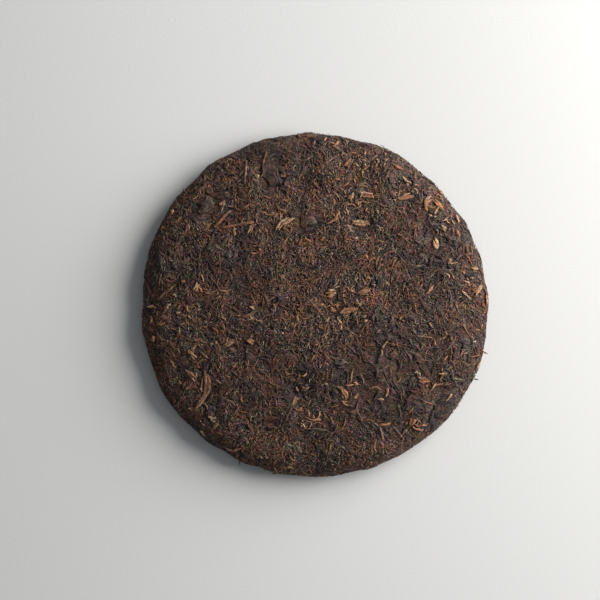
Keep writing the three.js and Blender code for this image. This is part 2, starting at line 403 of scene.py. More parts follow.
@dataclass(frozen=True)
class LeafShape:
    """How each leaf of a piece is built: a tube of few sides that tapers to both ends.

    The tube's middle line is turned by heading + bend * t / 2 + sway * (t^2 - 1/3) at t from
    -1 to 1. Its half width is width / 2 * (1 - |t|^taper)^blunt, and ridges make each side of
    each ring a little larger or smaller. A wave lets a broad leaf ripple. What stands over a
    leaf's cap is pressed down, over a height of about press.
    """

    sides: int = 5
    rings: int = 6
    taper: float = 2.2
    blunt: float = 0.7
    ridges: float = 0.2
    wobble: float = 0.08
    wave: float = 0.0
    press: float = 0.09
    end_ring: float = 0.9
    ring_crowding: float = 1.12
    skew: float = 0.3
    blunt_spread: tuple[float, float] = (0.45, 1.5)
    ripple_along: float = 1.1
    ripple_across: float = 1.6
    texture_shift: float = 200.0

    def stations(self) -> np.ndarray:
        """Places of the rings along the leaf: end_ring * sin(c s) / sin(c) for even s.

        Returns:
            Values between -1 and 1, closer together near the ends.
        """
        even = np.linspace(-1, 1, self.rings)
        return self.end_ring * np.sin(even * self.ring_crowding) / math.sin(self.ring_crowding)

    def middle_line(
        self, leaves: Leaves, t: np.ndarray
    ) -> tuple[np.ndarray, np.ndarray, np.ndarray]:
        """The middle line on the unrolled side, stepped along the leaf's turning direction.

        Args:
            leaves: The qualities of each leaf.
            t: Stations with both tips.

        Returns:
            The line's u and v, and its direction at each station.
        """
        count = len(leaves)
        turn = leaves.column("heading") + leaves.column("bend") * t / 2
        turn = turn + leaves.column("sway") * (t**2 - 1 / 3)
        between = (turn[:, 1:] + turn[:, :-1]) / 2
        step = np.diff(t) * leaves.column("length") / 2
        u = np.concatenate((np.zeros((count, 1)), np.cumsum(step * np.cos(between), 1)), 1)
        v = np.concatenate((np.zeros((count, 1)), np.cumsum(step * np.sin(between), 1)), 1)
        low, high = (self.rings + 1) // 2, self.rings // 2 + 1
        u += leaves.column("u") - (u[:, low, None] + u[:, high, None]) / 2
        v += leaves.column("v") - (v[:, low, None] + v[:, high, None]) / 2
        return u, v, turn

    def ring_offsets(
        self, leaves: Leaves, rng: np.random.Generator
    ) -> tuple[np.ndarray, np.ndarray]:
        """How far each corner of each ring lies across and above the middle line.

        Corners stand round an ellipse of the leaf's half width and half thickness, each
        scaled by its ridge, and the ring is then rolled by roll + twist * t / 2. Each leaf is
        fullest at its own place and has its own bluntness.

        Args:
            leaves: The qualities of each leaf.
            rng: Seeded draws for the ridges.

        Returns:
            Offsets across and upwards, by leaf, ring and side.
        """
        count, t = len(leaves), self.stations()
        skewed = t + rng.uniform(-self.skew, self.skew, (count, 1)) * (1 - t**2)
        blunt = self.blunt * rng.uniform(*self.blunt_spread, (count, 1))
        swell = (1 - np.abs(skewed) ** self.taper) ** blunt
        ridge = 1 + self.ridges * rng.uniform(-1, 1, (count, self.rings, self.sides))
        around = np.arange(self.sides) / self.sides * TURN + rng.uniform(0, TURN, (count, 1, 1))
        flat = (leaves.column("width") / 2 * swell)[:, :, None] * ridge * np.cos(around)
        tall = (leaves.column("thickness") / 2 * swell)[:, :, None] * ridge * np.sin(around)
        roll = (leaves.column("roll") + leaves.column("twist") * t / 2)[:, :, None]
        across = flat * np.cos(roll) - tall * np.sin(roll)
        upward = flat * np.sin(roll) + tall * np.cos(roll)
        run = leaves.column("length")[:, :, None] * t[None, :, None] / 2
        ripple = np.sin(self.ripple_along * run + self.ripple_across * across + around[:, :, :1])
        return across, upward + self.wave * ripple

    def tube_faces(self) -> tuple[np.ndarray, np.ndarray]:
        """Faces of one leaf, whose corners are a tip, then its rings, then the other tip.

        Returns:
            Quads between the rings, and triangles at both tips.
        """
        k = np.arange(self.sides)
        after = (k + 1) % self.sides
        j = np.arange(self.rings - 1)[:, None] * self.sides + 1
        quads = np.stack((j + k, j + after, j + self.sides + after, j + self.sides + k), -1)
        last = (self.rings - 1) * self.sides + 1
        tip = np.zeros(self.sides, int)
        near = np.stack((tip, after + 1, k + 1), -1)
        far = np.stack((tip + last + self.sides, last + k, last + after), -1)
        return quads.reshape(-1, 4), np.concatenate((near, far))

    def unrolled(
        self, leaves: Leaves, corners: np.ndarray, turns: np.ndarray, shift: np.ndarray
    ) -> np.ndarray:
        """Texture places in millimetres: along the leaf, and round it by its perimeter.

        Args:
            leaves: The qualities of each leaf.
            corners: Corner numbers of one leaf's faces.
            turns: For each of them, how many sides round the tube it lies.
            shift: Where each leaf starts, so that no two leaves look alike.

        Returns:
            Places by leaf and corner.
        """
        t = np.concatenate(([-1.0], np.repeat(self.stations(), self.sides), [1.0]))
        run = leaves.column("length") * t[corners.ravel()] / 2
        perimeter = (leaves.column("width") + leaves.column("thickness")) * math.pi / 2
        wrap = turns.ravel() / self.sides * perimeter
        return np.stack((run, wrap), -1) + shift

    def points(self, form: CakeForm, leaves: Leaves, rng: np.random.Generator) -> np.ndarray:
        """Places every corner of every leaf, tips included.

        The middle of each ring wobbles a little, and a softened minimum presses down what
        rises over the leaf's cap.

        Args:
            form: The cake that they lie on.
            leaves: The qualities of each leaf.
            rng: Seeded draws for the ridges.

        Returns:
            Points by leaf and corner.
        """
        count = len(leaves)
        t = np.concatenate(([-1.0], self.stations(), [1.0]))
        u, v, turn = self.middle_line(leaves, t)
        height = leaves.column("lift") + leaves.column("pitch") * t * leaves.column("length") / 2
        across, upward = self.ring_offsets(leaves, rng)
        wobble = self.wobble * rng.normal(0, 1, (2, count, self.rings)) * leaves.column("width")
        u[:, 1:-1] += wobble[0]
        v[:, 1:-1] += wobble[1]
        heading = turn[:, 1:-1, None]
        u = self.with_tips(u, u[:, 1:-1, None] - across * np.sin(heading))
        v = self.with_tips(v, v[:, 1:-1, None] + across * np.cos(heading))
        height = self.with_tips(height, height[:, 1:-1, None] + upward)
        cap = leaves.column("cap")
        height = cap - self.press * np.logaddexp(0, (cap - height) / self.press)
        height = np.where(np.isfinite(height), height, 0)
        return form.on_side(leaves.column("side"), u, v, height)

    def build(self, form: CakeForm, leaves: Leaves, rng: np.random.Generator) -> MeshData:
        """Builds every leaf of a piece at once.

        Args:
            form: The cake that they lie on.
            leaves: The qualities of each leaf.
            rng: Seeded draws for what differs from leaf to leaf.

        Returns:
            The joined mesh of them all.
        """
        count = len(leaves)
        points = self.points(form, leaves, rng)
        quads, tips = self.tube_faces()
        per_leaf = self.rings * self.sides + 2
        base = (np.arange(count) * per_leaf)[:, None, None]
        k = np.arange(self.sides)
        quad_turns = np.tile(np.stack((k, k + 1, k + 1, k), -1), (self.rings - 1, 1))
        tip_turns = np.concatenate((np.stack((k, k + 1, k), -1), np.stack((k, k, k + 1), -1)))
        shift = rng.uniform(0, self.texture_shift, (count, 1, 2))
        return MeshData(
            points=points.reshape(-1, 3),
            quads=(base + quads).reshape(-1, 4),
            triangles=(base + tips).reshape(-1, 3),
            quad_uv=self.unrolled(leaves, quads, quad_turns, shift),
            triangle_uv=self.unrolled(leaves, tips, tip_turns, shift),
            attributes={
                "tone": np.repeat(leaves.tone, per_leaf),
                "warmth": np.repeat(leaves.warmth, per_leaf),
            },
        )

    @staticmethod
    def with_tips(line: np.ndarray, rings: np.ndarray) -> np.ndarray:
        """Puts a line's two tips before and after its rings' corners.

        Args:
            line: Values along the middle line, tips included.
            rings: Values by leaf, ring and side.

        Returns:
            One row of corners a leaf.
        """
        return np.concatenate((line[:, [0]], rings.reshape(len(rings), -1), line[:, [-1]]), 1)


@dataclass
class Clearing:
    """Small squares along the lines of shown pieces, where little other leaf covers them."""

    u: np.ndarray
    v: np.ndarray
    reach: np.ndarray

    @classmethod
    def over(cls, shape: LeafShape, leaves: Leaves, share: float) -> "Clearing":
        """Puts a square at each station of each leaf.

        Args:
            shape: The leaves' shape.
            leaves: Leaves of the face.
            share: Half side of the squares as a share of the leaf's half width.

        Returns:
            The clearing.
        """
        t = np.concatenate(([-1.0], shape.stations(), [1.0]))
        u, v, _ = shape.middle_line(leaves, t)
        reach = np.broadcast_to(leaves.column("width") / 2 * share, u[:, 1:-1].shape)
        return cls(u[:, 1:-1].ravel(), v[:, 1:-1].ravel(), reach.ravel())

    def spares(self, leaves: Leaves, rng: np.random.Generator, strays: float = 0.06) -> np.ndarray:
        """Finds the leaves whose middle lies in no square, and a few whose middle does.

        Args:
            leaves: Scattered leaves.
            rng: Seeded draws.
            strays: Share of the covering leaves that stay all the same.

        Returns:
            True for each leaf that stays.
        """
        covering = np.zeros(len(leaves), bool)
        for u, v, reach in zip(self.u, self.v, self.reach):
            covering |= (np.abs(leaves.u - u) < reach) & (np.abs(leaves.v - v) < reach)
        return ~covering | (leaves.side < 0) | (rng.random(len(leaves)) < strays)


@dataclass(frozen=True)
class LeafKind:
    """A kind of scattered leaf: how many lie where, and the ranges of its qualities.

    Bend, sway, roll, twist and pitch are the usual sizes of those angles, in degrees. Shares
    are of the kind's count, and rim_calm is how much deeper the leaves on the rim lie.
    """

    name: str
    slot: Slot
    count: int
    shape: LeafShape
    length: Span
    width: Span
    thickness: Span
    lift: Span
    cap: float = 0.15
    bend: float = 42.0
    sway: float = 26.0
    roll: float = 13.0
    twist: float = 30.0
    pitch: float = 3.0
    tone: Span = Span(0, 1)
    warmth: Span = Span(0, 1)
    clustered: float = 0.0
    face_share: float = 0.57
    rim_share: float = 0.25
    underside_size: float = 1.35
    rim_calm: float = 0.36
    rim_flattening: float = 0.6
    face_overhang: float = 6.0
    area_jitter: float = 0.6
    turn_jitter: float = 1.5
    rank_jitter: float = 1.2

    def spots(self, form: CakeForm, rng: np.random.Generator) -> tuple[np.ndarray, np.ndarray]:
        """Spreads middles over face, rim and underside.

        Each zone is a band of the section's area. Leaf i of n takes the area share
        (i + 0.5) / n of its zone and the angle i * golden angle, each with a random part. A
        clustered kind tries more places and keeps those where a slow wave field is high.

        Args:
            form: The cake.
            rng: Seeded draws.

        Returns:
            Lengths of section from the middle of the face, and angles about the axis.
        """
        edges = np.interp((form.rim_start, form.rim_end), form.along, form.area)
        shares = (self.face_share, self.rim_share, 1 - self.face_share - self.rim_share)
        zones = ((0.0, edges[0]), (edges[0], edges[1]), (edges[1], 1.0))
        area, angle = [], []
        for (low, high), share in zip(zones, shares):
            wanted = round(self.count * share)
            tried = round(wanted * (1 + 2 * self.clustered))
            i = np.arange(tried)
            jitter = rng.uniform(-self.area_jitter, self.area_jitter, tried) / math.sqrt(tried)
            a = low + (high - low) * np.clip((i + 0.5) / tried + jitter, 0, 1)
            turned = rng.uniform(-self.turn_jitter, self.turn_jitter, tried)
            th = i * GOLDEN_ANGLE + turned / np.sqrt(i + 2)
            s = np.interp(a, form.area, form.along)
            crowd = self.crowding(s * np.cos(th), s * np.sin(th))
            rank = crowd + rng.normal(0, self.rank_jitter, tried)
            keep = np.sort(np.argsort(-rank)[:wanted]) if self.clustered else i[:wanted]
            area.append(a[keep])
            angle.append(th[keep])
        return np.interp(np.concatenate(area), form.area, form.along), np.concatenate(angle)

    @staticmethod
    def crowding(x: np.ndarray, y: np.ndarray) -> np.ndarray:
        """How thickly leaves gather: the sum of sin(way q / (7 + 3.1 q) + 5 q) over headings q.

        Args:
            x: First coordinate of the middles.
            y: Second coordinate.

        Returns:
            A slow wave field, high where they gather.
        """
        crowd = np.zeros_like(x)
        for q in CROWD_HEADINGS:
            way = x * math.cos(q) + y * math.sin(q)
            crowd += np.sin(way / (CROWD_REACH + CROWD_STEP * q) + CROWD_PHASE * q)
        return crowd

    def scatter(self, form: CakeForm, rng: np.random.Generator) -> Leaves:
        """Spreads the leaves over the cake; those on the rim lie closer to it.

        Args:
            form: The cake.
            rng: Seeded draws.

        Returns:
            The qualities of every leaf.
        """
        along, turn = self.spots(form, rng)
        side = np.where(along <= form.along[form.section_steps] + self.face_overhang, 1, -1)
        distance = np.where(side > 0, along, form.along[-1] - along)
        under = along > form.rim_end
        rim = ((along > form.rim_start) & ~under).astype(float)
        leaves = self.drawn(distance * np.cos(side * turn), distance * np.sin(side * turn), rng)
        larger = np.where(under, self.underside_size, 1.0)
        return replace(
            leaves,
            side=side,
            length=leaves.length * larger,
            width=leaves.width * larger,
            pitch=leaves.pitch * (1 - self.rim_flattening * rim),
            lift=leaves.lift - self.rim_calm * rim,
            cap=leaves.cap - self.rim_calm * rim,
        )

    def drawn(self, u: np.ndarray, v: np.ndarray, rng: np.random.Generator) -> Leaves:
        """Draws the qualities of leaves whose middles are known, all on the face.

        Args:
            u: First coordinate of the middles on the unrolled side.
            v: Second coordinate.
            rng: Seeded draws.

        Returns:
            The qualities of each leaf.
        """
        n = len(u)
        rad = math.radians
        return Leaves(
            side=np.ones(n, int),
            u=u,
            v=v,
            length=self.length.draw(rng, n),
            width=self.width.draw(rng, n),
            thickness=self.thickness.draw(rng, n),
            heading=rng.uniform(0, TURN, n),
            bend=rng.normal(0, rad(self.bend), n),
            sway=rng.normal(0, rad(self.sway), n),
            roll=rng.normal(0, rad(self.roll), n),
            twist=rng.normal(0, rad(self.twist), n),
            pitch=np.tan(rng.normal(0, rad(self.pitch), n)),
            lift=self.lift.draw(rng, n),
            cap=np.full(n, self.cap),
            tone=self.tone.draw(rng, n),
            warmth=self.warmth.draw(rng, n),
        )


@dataclass(frozen=True)
class GoldenPatch:
    """A place on the face where golden bits gather: how far they reach and how many."""

    x: float
    y: float
    reach: float
    count: int

    def scatter(self, form: CakeForm, kind: LeafKind, rng: np.random.Generator) -> Leaves:
        """Lays the kind's leaves round the place, thickest in its middle.

        Args:
            form: The cake.
            kind: The kind whose sizes the bits take.
            rng: Seeded draws.

        Returns:
            The qualities of each bit.
        """
        spread = rng.normal(0, self.reach / 2, (2, self.count))
        u, v = form.spot_seen(self.x + spread[0], self.y + spread[1])
        return kind.drawn(u, v, rng)


@dataclass(frozen=True)
class ShownPiece:
    """One bud, leaf or stem whose middle shows at a place seen from above, angles in degrees."""

    x: float
    y: float
    length: float
    width: float
    heading: float
    bend: float
    tone: BudTone
    pitch: float = 0.0


BUDS = (
    ShownPiece(-17.0, 46.3, 14.5, 3.2, 39, -35, BudTone.PALE),
    ShownPiece(-82.7, 7.8, 14.3, 1.9, 40, -14, BudTone.BROWN),
    ShownPiece(-91.8, -0.7, 7.0, 2.0, -5, 0, BudTone.TAN),
    ShownPiece(-60.9, -48.1, 26.0, 3.0, -108, -75, BudTone.RUST),
    ShownPiece(-69.1, -38.5, 10.0, 2.2, -45, -10, BudTone.BROWN),
    ShownPiece(-47.3, -21.2, 10.0, 2.2, 30, 0, BudTone.RUST),
    ShownPiece(-36.1, -5.0, 10.0, 2.0, 22, 10, BudTone.RUST),
    ShownPiece(-45.6, -81.1, 10.0, 1.5, 0, 90, BudTone.ORANGE),
    ShownPiece(30.3, 61.8, 9.5, 2.8, -5, -80, BudTone.GOLD),
    ShownPiece(50.4, 60.6, 12.3, 2.6, 19, 0, BudTone.GOLD),
    ShownPiece(62.6, 57.6, 11.0, 2.6, 62, -120, BudTone.ORANGE),
    ShownPiece(69.9, 56.2, 9.0, 2.8, -50, -30, BudTone.ORANGE),
    ShownPiece(25.9, 45.9, 12.5, 3.6, 3, 20, BudTone.BROWN),
    ShownPiece(10.9, 48.0, 11.0, 1.9, 42, 50, BudTone.ORANGE),
    ShownPiece(68.1, 34.4, 7.0, 2.8, -68, 0, BudTone.TAN),
    ShownPiece(35.4, 23.8, 10.0, 2.8, 75, -40, BudTone.RUST),
    ShownPiece(64.7, 8.8, 7.5, 2.0, 48, 30, BudTone.GOLD),
    ShownPiece(91.3, 8.1, 11.0, 2.2, 48, 0, BudTone.GOLD),
    ShownPiece(18.8, -2.8, 12.5, 2.6, 25, 0, BudTone.ORANGE),
    ShownPiece(27.6, 8.1, 10.0, 3.0, 30, 0, BudTone.BROWN),
    ShownPiece(16.6, -48.1, 11.5, 2.4, -60, -75, BudTone.GOLD),
    ShownPiece(61.3, -41.6, 9.0, 2.8, -10, 0, BudTone.BROWN),
    ShownPiece(20.5, 60.4, 4.5, 2.4, 60, 20, BudTone.ORANGE),
    ShownPiece(85.0, 5.8, 8.0, 1.5, -45, 0, BudTone.PALE),
    ShownPiece(96.0, 2.8, 9.0, 1.6, 88, 0, BudTone.PALE),
    ShownPiece(90.1, 20.6, 5.0, 2.0, 0, 60, BudTone.PALE),
    ShownPiece(9.2, 6.7, 6.0, 4.0, 10, 0, BudTone.GOLD),
    ShownPiece(15.9, 8.7, 4.5, 2.2, 20, 30, BudTone.RUST),
    ShownPiece(10.5, -2.3, 4.0, 2.2, -10, 30, BudTone.ORANGE),
    ShownPiece(28.2, -8.9, 2.6, 2.0, 60, 0, BudTone.PALE),
    ShownPiece(-35.9, -20.2, 4.4, 2.6, -15, 30, BudTone.ORANGE),
    ShownPiece(-45.8, -25.1, 6.0, 2.8, 15, 20, BudTone.RUST),
    ShownPiece(-91.4, -8.5, 5.0, 1.8, 85, 0, BudTone.TAN),
    ShownPiece(-90.2, -18.5, 4.4, 2.2, 70, 0, BudTone.ORANGE),
    ShownPiece(-68.7, -27.5, 7.0, 2.4, -50, 20, BudTone.BROWN),
    ShownPiece(-79.0, -33.0, 6.0, 1.8, -60, 10, BudTone.ORANGE),
    ShownPiece(-2.0, 95.0, 9.0, 1.8, 5, 10, BudTone.RUST),
    ShownPiece(12.4, 90.3, 6.0, 2.0, 40, 10, BudTone.ORANGE),
    ShownPiece(19.2, 80.0, 8.0, 2.2, 40, 20, BudTone.BROWN),
    ShownPiece(-44.5, 41.2, 5.0, 2.0, 88, 0, BudTone.TAN),
    ShownPiece(-36.4, 42.0, 6.0, 1.7, 65, 10, BudTone.BROWN),
    ShownPiece(-33.5, 29.0, 5.0, 1.3, 10, 90, BudTone.TAN),
    ShownPiece(-66.0, 10.0, 6.0, 2.2, 60, 20, BudTone.TAN),
    ShownPiece(-63.6, 9.2, 5.0, 1.6, 115, 0, BudTone.TAN),
    ShownPiece(-49.5, 8.0, 8.0, 1.3, 5, 60, BudTone.BROWN),
    ShownPiece(23.1, -43.7, 3.0, 2.2, 0, 0, BudTone.TAN),
    ShownPiece(33.8, -45.7, 8.0, 1.5, 0, -80, BudTone.ORANGE),
    ShownPiece(23.5, -50.5, 4.0, 1.8, 30, 0, BudTone.TAN),
    ShownPiece(-10.9, -53.0, 7.0, 2.2, 60, 20, BudTone.BROWN),
    ShownPiece(-5.4, -45.7, 6.0, 3.6, 20, 0, BudTone.BROWN),
    ShownPiece(0.6, -64.0, 7.0, 2.0, -5, 30, BudTone.ORANGE),
    ShownPiece(39.4, -66.5, 7.0, 1.9, 10, 20, BudTone.ORANGE),
    ShownPiece(54.6, -65.0, 5.0, 3.0, 80, 20, BudTone.GOLD),
    ShownPiece(57.6, -69.5, 7.0, 1.8, -20, 70, BudTone.ORANGE),
    ShownPiece(66.0, -46.0, 7.0, 1.5, 50, 10, BudTone.PALE),
    ShownPiece(75.5, -52.0, 6.0, 1.4, 60, 20, BudTone.PALE),
    ShownPiece(73.0, -29.5, 5.0, 1.4, 40, 20, BudTone.TAN),
    ShownPiece(92.0, -33.0, 6.0, 1.6, 50, 0, BudTone.GOLD),
    ShownPiece(75.5, 24.6, 4.0, 2.0, 60, 0, BudTone.ORANGE),
    ShownPiece(72.2, 43.2, 5.0, 2.2, -40, 20, BudTone.ORANGE),
    ShownPiece(-55.0, -67.0, 7.0, 2.0, 50, 30, BudTone.BROWN),
    ShownPiece(-57.5, -63.5, 6.0, 1.8, -40, 30, BudTone.GOLD),
    ShownPiece(-79.6, 51.9, 4.0, 1.8, 70, 0, BudTone.TAN),
    ShownPiece(4.6, 37.2, 3.0, 2.0, 40, 0, BudTone.TAN),
    ShownPiece(-17.3, 73.0, 3.0, 2.2, -30, 0, BudTone.RUST),
    ShownPiece(68.2, 53.0, 5.5, 1.6, 56, 0, BudTone.PALE),
    ShownPiece(80.4, 40.4, 4.0, 2.0, -60, 20, BudTone.ORANGE),
    ShownPiece(80.0, 48.6, 5.0, 1.6, -75, 0, BudTone.GOLD),
    ShownPiece(71.4, 63.7, 5.0, 1.8, -30, 10, BudTone.ORANGE),
    ShownPiece(46.8, 77.4, 8.0, 2.0, -26, 0, BudTone.BROWN),
    ShownPiece(51.5, 70.0, 7.0, 1.4, -35, 30, BudTone.BROWN),
    ShownPiece(19.6, 56.3, 8.4, 1.5, 5, -110, BudTone.BROWN),
    ShownPiece(20.7, 61.0, 4.7, 2.0, 45, 20, BudTone.ORANGE),
    ShownPiece(23.6, 54.5, 7.0, 1.3, 28, 10, BudTone.BROWN),
    ShownPiece(37.9, 55.7, 7.0, 1.3, -14, 10, BudTone.RUST),
    ShownPiece(29.0, 77.0, 6.0, 1.6, 40, 10, BudTone.RUST),
    ShownPiece(40.9, -48.5, 5.5, 2.0, 75, 60, BudTone.BROWN),
    ShownPiece(37.0, -52.4, 4.2, 1.5, 5, 0, BudTone.TAN),
    ShownPiece(37.0, -26.8, 5.0, 1.4, 80, 0, BudTone.BROWN),
    ShownPiece(39.2, -21.8, 5.0, 1.2, 55, 0, BudTone.ORANGE),
    ShownPiece(20.7, -39.3, 9.0, 1.4, 82, -10, BudTone.BROWN),
    ShownPiece(1.0, -69.0, 16.0, 1.2, -3, 5, BudTone.DULL),
)
STEMS = (
    ShownPiece(-43.2, 44.8, 20.0, 1.6, 9, 4, BudTone.TAN),
    ShownPiece(-51.4, 48.3, 14.0, 2.0, 47, 8, BudTone.ORANGE),
    ShownPiece(37.5, -71.6, 7.5, 1.5, -78, 0, BudTone.GOLD),
    ShownPiece(-22.4, -94.3, 6.0, 1.3, -80, 0, BudTone.DULL),
    ShownPiece(-28.0, 82.0, 9.0, 1.2, 75, 0, BudTone.RUST),
    ShownPiece(-38.5, 74.4, 14.6, 1.5, 88, 0, BudTone.DULL),
    ShownPiece(90.0, -28.5, 8.0, 1.0, 5, 20, BudTone.BROWN),
    ShownPiece(41.5, 29.5, 8.0, 1.2, 20, -30, BudTone.BROWN),
    ShownPiece(-60.0, 3.0, 16.0, 1.2, 12, 5, BudTone.DULL),
)
STRAYS = (
    ShownPiece(-22.6, -95.6, 7.0, 1.1, -80, 0, BudTone.DULL, 32),
    ShownPiece(-41.7, -88.6, 4.5, 0.9, -100, 20, BudTone.DULL, 30),
    ShownPiece(95.0, -26.2, 4.5, 0.8, -30, 20, BudTone.BROWN, 34),
    ShownPiece(89.5, -41.0, 3.6, 0.8, -10, 0, BudTone.DULL, 30),
    ShownPiece(-72.0, 63.5, 3.4, 0.8, 130, 0, BudTone.DULL, 28),
)
BROAD_FLAKES = (
    ShownPiece(-61.0, 55.0, 10.0, 8.0, 50, 0, BudTone.TAN),
    ShownPiece(-24.0, 74.0, 13.0, 10.0, 100, 0, BudTone.DULL),
    ShownPiece(72.2, -57.6, 13.0, 10.0, 60, 0, BudTone.DULL),
    ShownPiece(-4.0, 47.0, 9.0, 7.0, 30, 0, BudTone.TAN),
)
PATCHES = (
    GoldenPatch(64.5, 59.2, 9, 25),
    GoldenPatch(25.7, 7.0, 9, 22),
    GoldenPatch(15.6, -5.4, 9, 14),
    GoldenPatch(74.6, 45.7, 8, 14),
    GoldenPatch(17.9, -48.1, 7, 10),
    GoldenPatch(-18.1, 48.0, 6, 8),
    GoldenPatch(27.4, 60.9, 9, 14),
    GoldenPatch(51.0, 61.5, 8, 12),
    GoldenPatch(14.5, 6.4, 7, 11),
    GoldenPatch(55.0, -67.8, 8, 14),
    GoldenPatch(25.7, 46.3, 8, 10),
    GoldenPatch(-63.6, -42.5, 10, 10),
    GoldenPatch(26.9, 81.7, 9, 14),
    GoldenPatch(38.1, 82.3, 9, 13),
    GoldenPatch(-2.9, -62.2, 9, 15),
    GoldenPatch(-6.9, -46.4, 8, 11),
    GoldenPatch(35.9, 26.1, 6, 6),
    GoldenPatch(10.6, 88.5, 8, 8),
    GoldenPatch(-36.6, -6.0, 6, 6),
    GoldenPatch(63.4, -41.4, 8, 10),
    GoldenPatch(74.0, -46.0, 8, 7),
    GoldenPatch(-48.4, -23.4, 8, 8),
    GoldenPatch(11.7, 48.6, 7, 7),
    GoldenPatch(85.0, 11.0, 10, 14),
    GoldenPatch(-77.0, -5.0, 12, 10),
    GoldenPatch(-58.0, -67.0, 9, 10),
    GoldenPatch(-35.0, 45.2, 7, 7),
    GoldenPatch(-64.2, 9.2, 7, 7),
)


@dataclass(frozen=True)
class Frayed:
    """How a shown piece is made of a few strands side by side, as pressed buds are."""

    strand_width: float = 1.45
    overlap: float = 1.65
    shortest: float = 0.75
    heading: float = 3.0
    lift: float = 0.22
    tone: float = 0.12
    warmth: float = 0.18
    sway: float = 0.15
    twist: float = 0.3

    def leaves(
        self,
        form: CakeForm,
        pieces: tuple[ShownPiece, ...],
        rng: np.random.Generator,
        height: float,
        lift: float,
        cap: float = 0.5,
    ) -> Leaves:
        """Turns shown pieces into leaves on the face.

        Strand k of n lies (k - (n - 1) / 2) * width / n to the side of its piece's middle
        line, is that share of the width times the overlap, and is a little shorter.

        Args:
            form: The cake.
            pieces: The shown pieces.
            rng: Seeded draws for what differs from strand to strand.
            height: Their thickness.
            lift: How far their middles lie over the surface.
            cap: The height that they are pressed down to.

        Returns:
            The qualities of each strand.
        """
        strands = [max(1, round(p.width / self.strand_width)) for p in pieces]
        owner = np.repeat(np.arange(len(pieces)), strands)
        part = np.concatenate([np.arange(n) - (n - 1) / 2 for n in strands])
        share = 1 / np.repeat(strands, strands)
        n = len(owner)

        u, v = form.spot_seen(self.held(pieces, owner, "x"), self.held(pieces, owner, "y"))
        width, length = self.held(pieces, owner, "width"), self.held(pieces, owner, "length")
        heading = np.radians(self.held(pieces, owner, "heading"))
        shorter = np.where(part == 0, 1.0, rng.uniform(self.shortest, 1.0, n))
        aside = part * share * width
        ahead = rng.uniform(-0.5, 0.5, n) * (1 - shorter) * length
        split = share < 1
        zero = np.zeros(n)
        tone, warmth = np.array([pieces[i].tone.value for i in owner]).T
        return Leaves(
            side=np.ones(n, int),
            u=u + ahead * np.cos(heading) - aside * np.sin(heading),
            v=v + ahead * np.sin(heading) + aside * np.cos(heading),
            length=length * shorter,
            width=np.where(split, width * share * self.overlap, width),
            thickness=np.full(n, height),
            heading=heading + np.radians(rng.normal(0, self.heading, n)) * split,
            bend=np.radians(self.held(pieces, owner, "bend")),
            sway=rng.normal(0, self.sway, n),
            roll=zero,
            twist=zero + self.twist,
            pitch=np.tan(np.radians(self.held(pieces, owner, "pitch"))),
            lift=lift + rng.uniform(-self.lift, self.lift, n) * split,
            cap=np.full(n, cap),
            tone=tone + rng.normal(0, self.tone, n),
            warmth=warmth + rng.normal(0, self.warmth, n),
        )

    @staticmethod
    def held(pieces: tuple[ShownPiece, ...], owner: np.ndarray, name: str) -> np.ndarray:
        """A size of each strand's own piece.

        Args:
            pieces: The shown pieces.
            owner: The number of each strand's piece.
            name: The size's name.

        Returns:
            One value a strand.
        """
        return np.array([getattr(p, name) for p in pieces], float)[owner]


@dataclass
class StrewnLeaves:
    """The largest fused leaves of the solid, at the places that its rule gives them."""

    seed: int = 357
    face_count: int = 110
    underside_count: int = 48
    length: Span = Span(11, 22)
    width: Span = Span(2.4, 5)
    height: Span = Span(1.6, 2.2)
    lift: Span = Span(-0.7, -0.1)
    most_bend: float = 70.0
    underside_edge: float = 84.0
    sunk: float = 0.7
    cap: float = 0.3
    twist: float = 0.5
    tone: Span = Span(0.05, 0.5)
    warmth: Span = Span(0.0, 0.7)

    def draws(self, count: int) -> np.ndarray:
        """The solid's own seeded numbers from 0 to 1, one after another.

        A counter that grows by a fixed odd step is mixed by shifts, exclusive ors and products
        of 32 bits.

        Args:
            count: How many are drawn.

        Returns:
            The numbers in their order.
        """
        mask = 0xFFFFFFFF
        state = (self.seed + 0x6D2B79F5 * np.arange(1, count + 1, dtype=np.uint64)) & mask
        mixed = ((state ^ (state >> np.uint64(15))) * (state | np.uint64(1))) & mask
        more = ((mixed ^ (mixed >> np.uint64(7))) * (mixed | np.uint64(61))) & mask
        mixed = mixed ^ ((mixed + more) & mask)
        return ((mixed ^ (mixed >> np.uint64(14))) & mask) / 2**32

    def leaves(self, form: CakeForm, rng: np.random.Generator) -> Leaves:
        """The qualities of each strewn leaf: golden-angle places, then eight draws each.

        Args:
            form: The cake.
            rng: Seeded draws for the tones, which the solid doesn't have.

        Returns:
            The leaves of the face, then those of the underside.
        """
        total = self.face_count + self.underside_count
        draw = self.draws(8 * total).reshape(total, 8).T
        on_face = np.arange(total) < self.face_count
        i = np.where(on_face, np.arange(total), np.arange(total) - self.face_count)
        reach = np.where(on_face, form.along[-1] - self.underside_edge, self.underside_edge)
        count = np.where(on_face, self.face_count, self.underside_count)
        distance = reach * np.sqrt((i + 0.5) / count)
        spacing = reach / np.sqrt(count)
        zero = np.zeros(total)
        return Leaves(
            side=np.where(on_face, 1, -1),
            u=distance * np.cos(i * GOLDEN_ANGLE) + spacing * (draw[0] - 0.5),
            v=distance * np.sin(i * GOLDEN_ANGLE) + spacing * (draw[1] - 0.5),
            length=self.length.at(draw[2]),
            width=self.width.at(draw[3]),
            thickness=self.height.at(draw[4]),
            lift=self.lift.at(draw[5]) - self.sunk,
            heading=TURN * draw[6],
            bend=math.radians(self.most_bend) * (2 * draw[7] - 1),
            sway=zero,
            roll=zero,
            twist=zero + self.twist,
            pitch=zero,
            cap=zero + self.cap,
            tone=self.tone.draw(rng, total),
            warmth=self.warmth.draw(rng, total),
        )


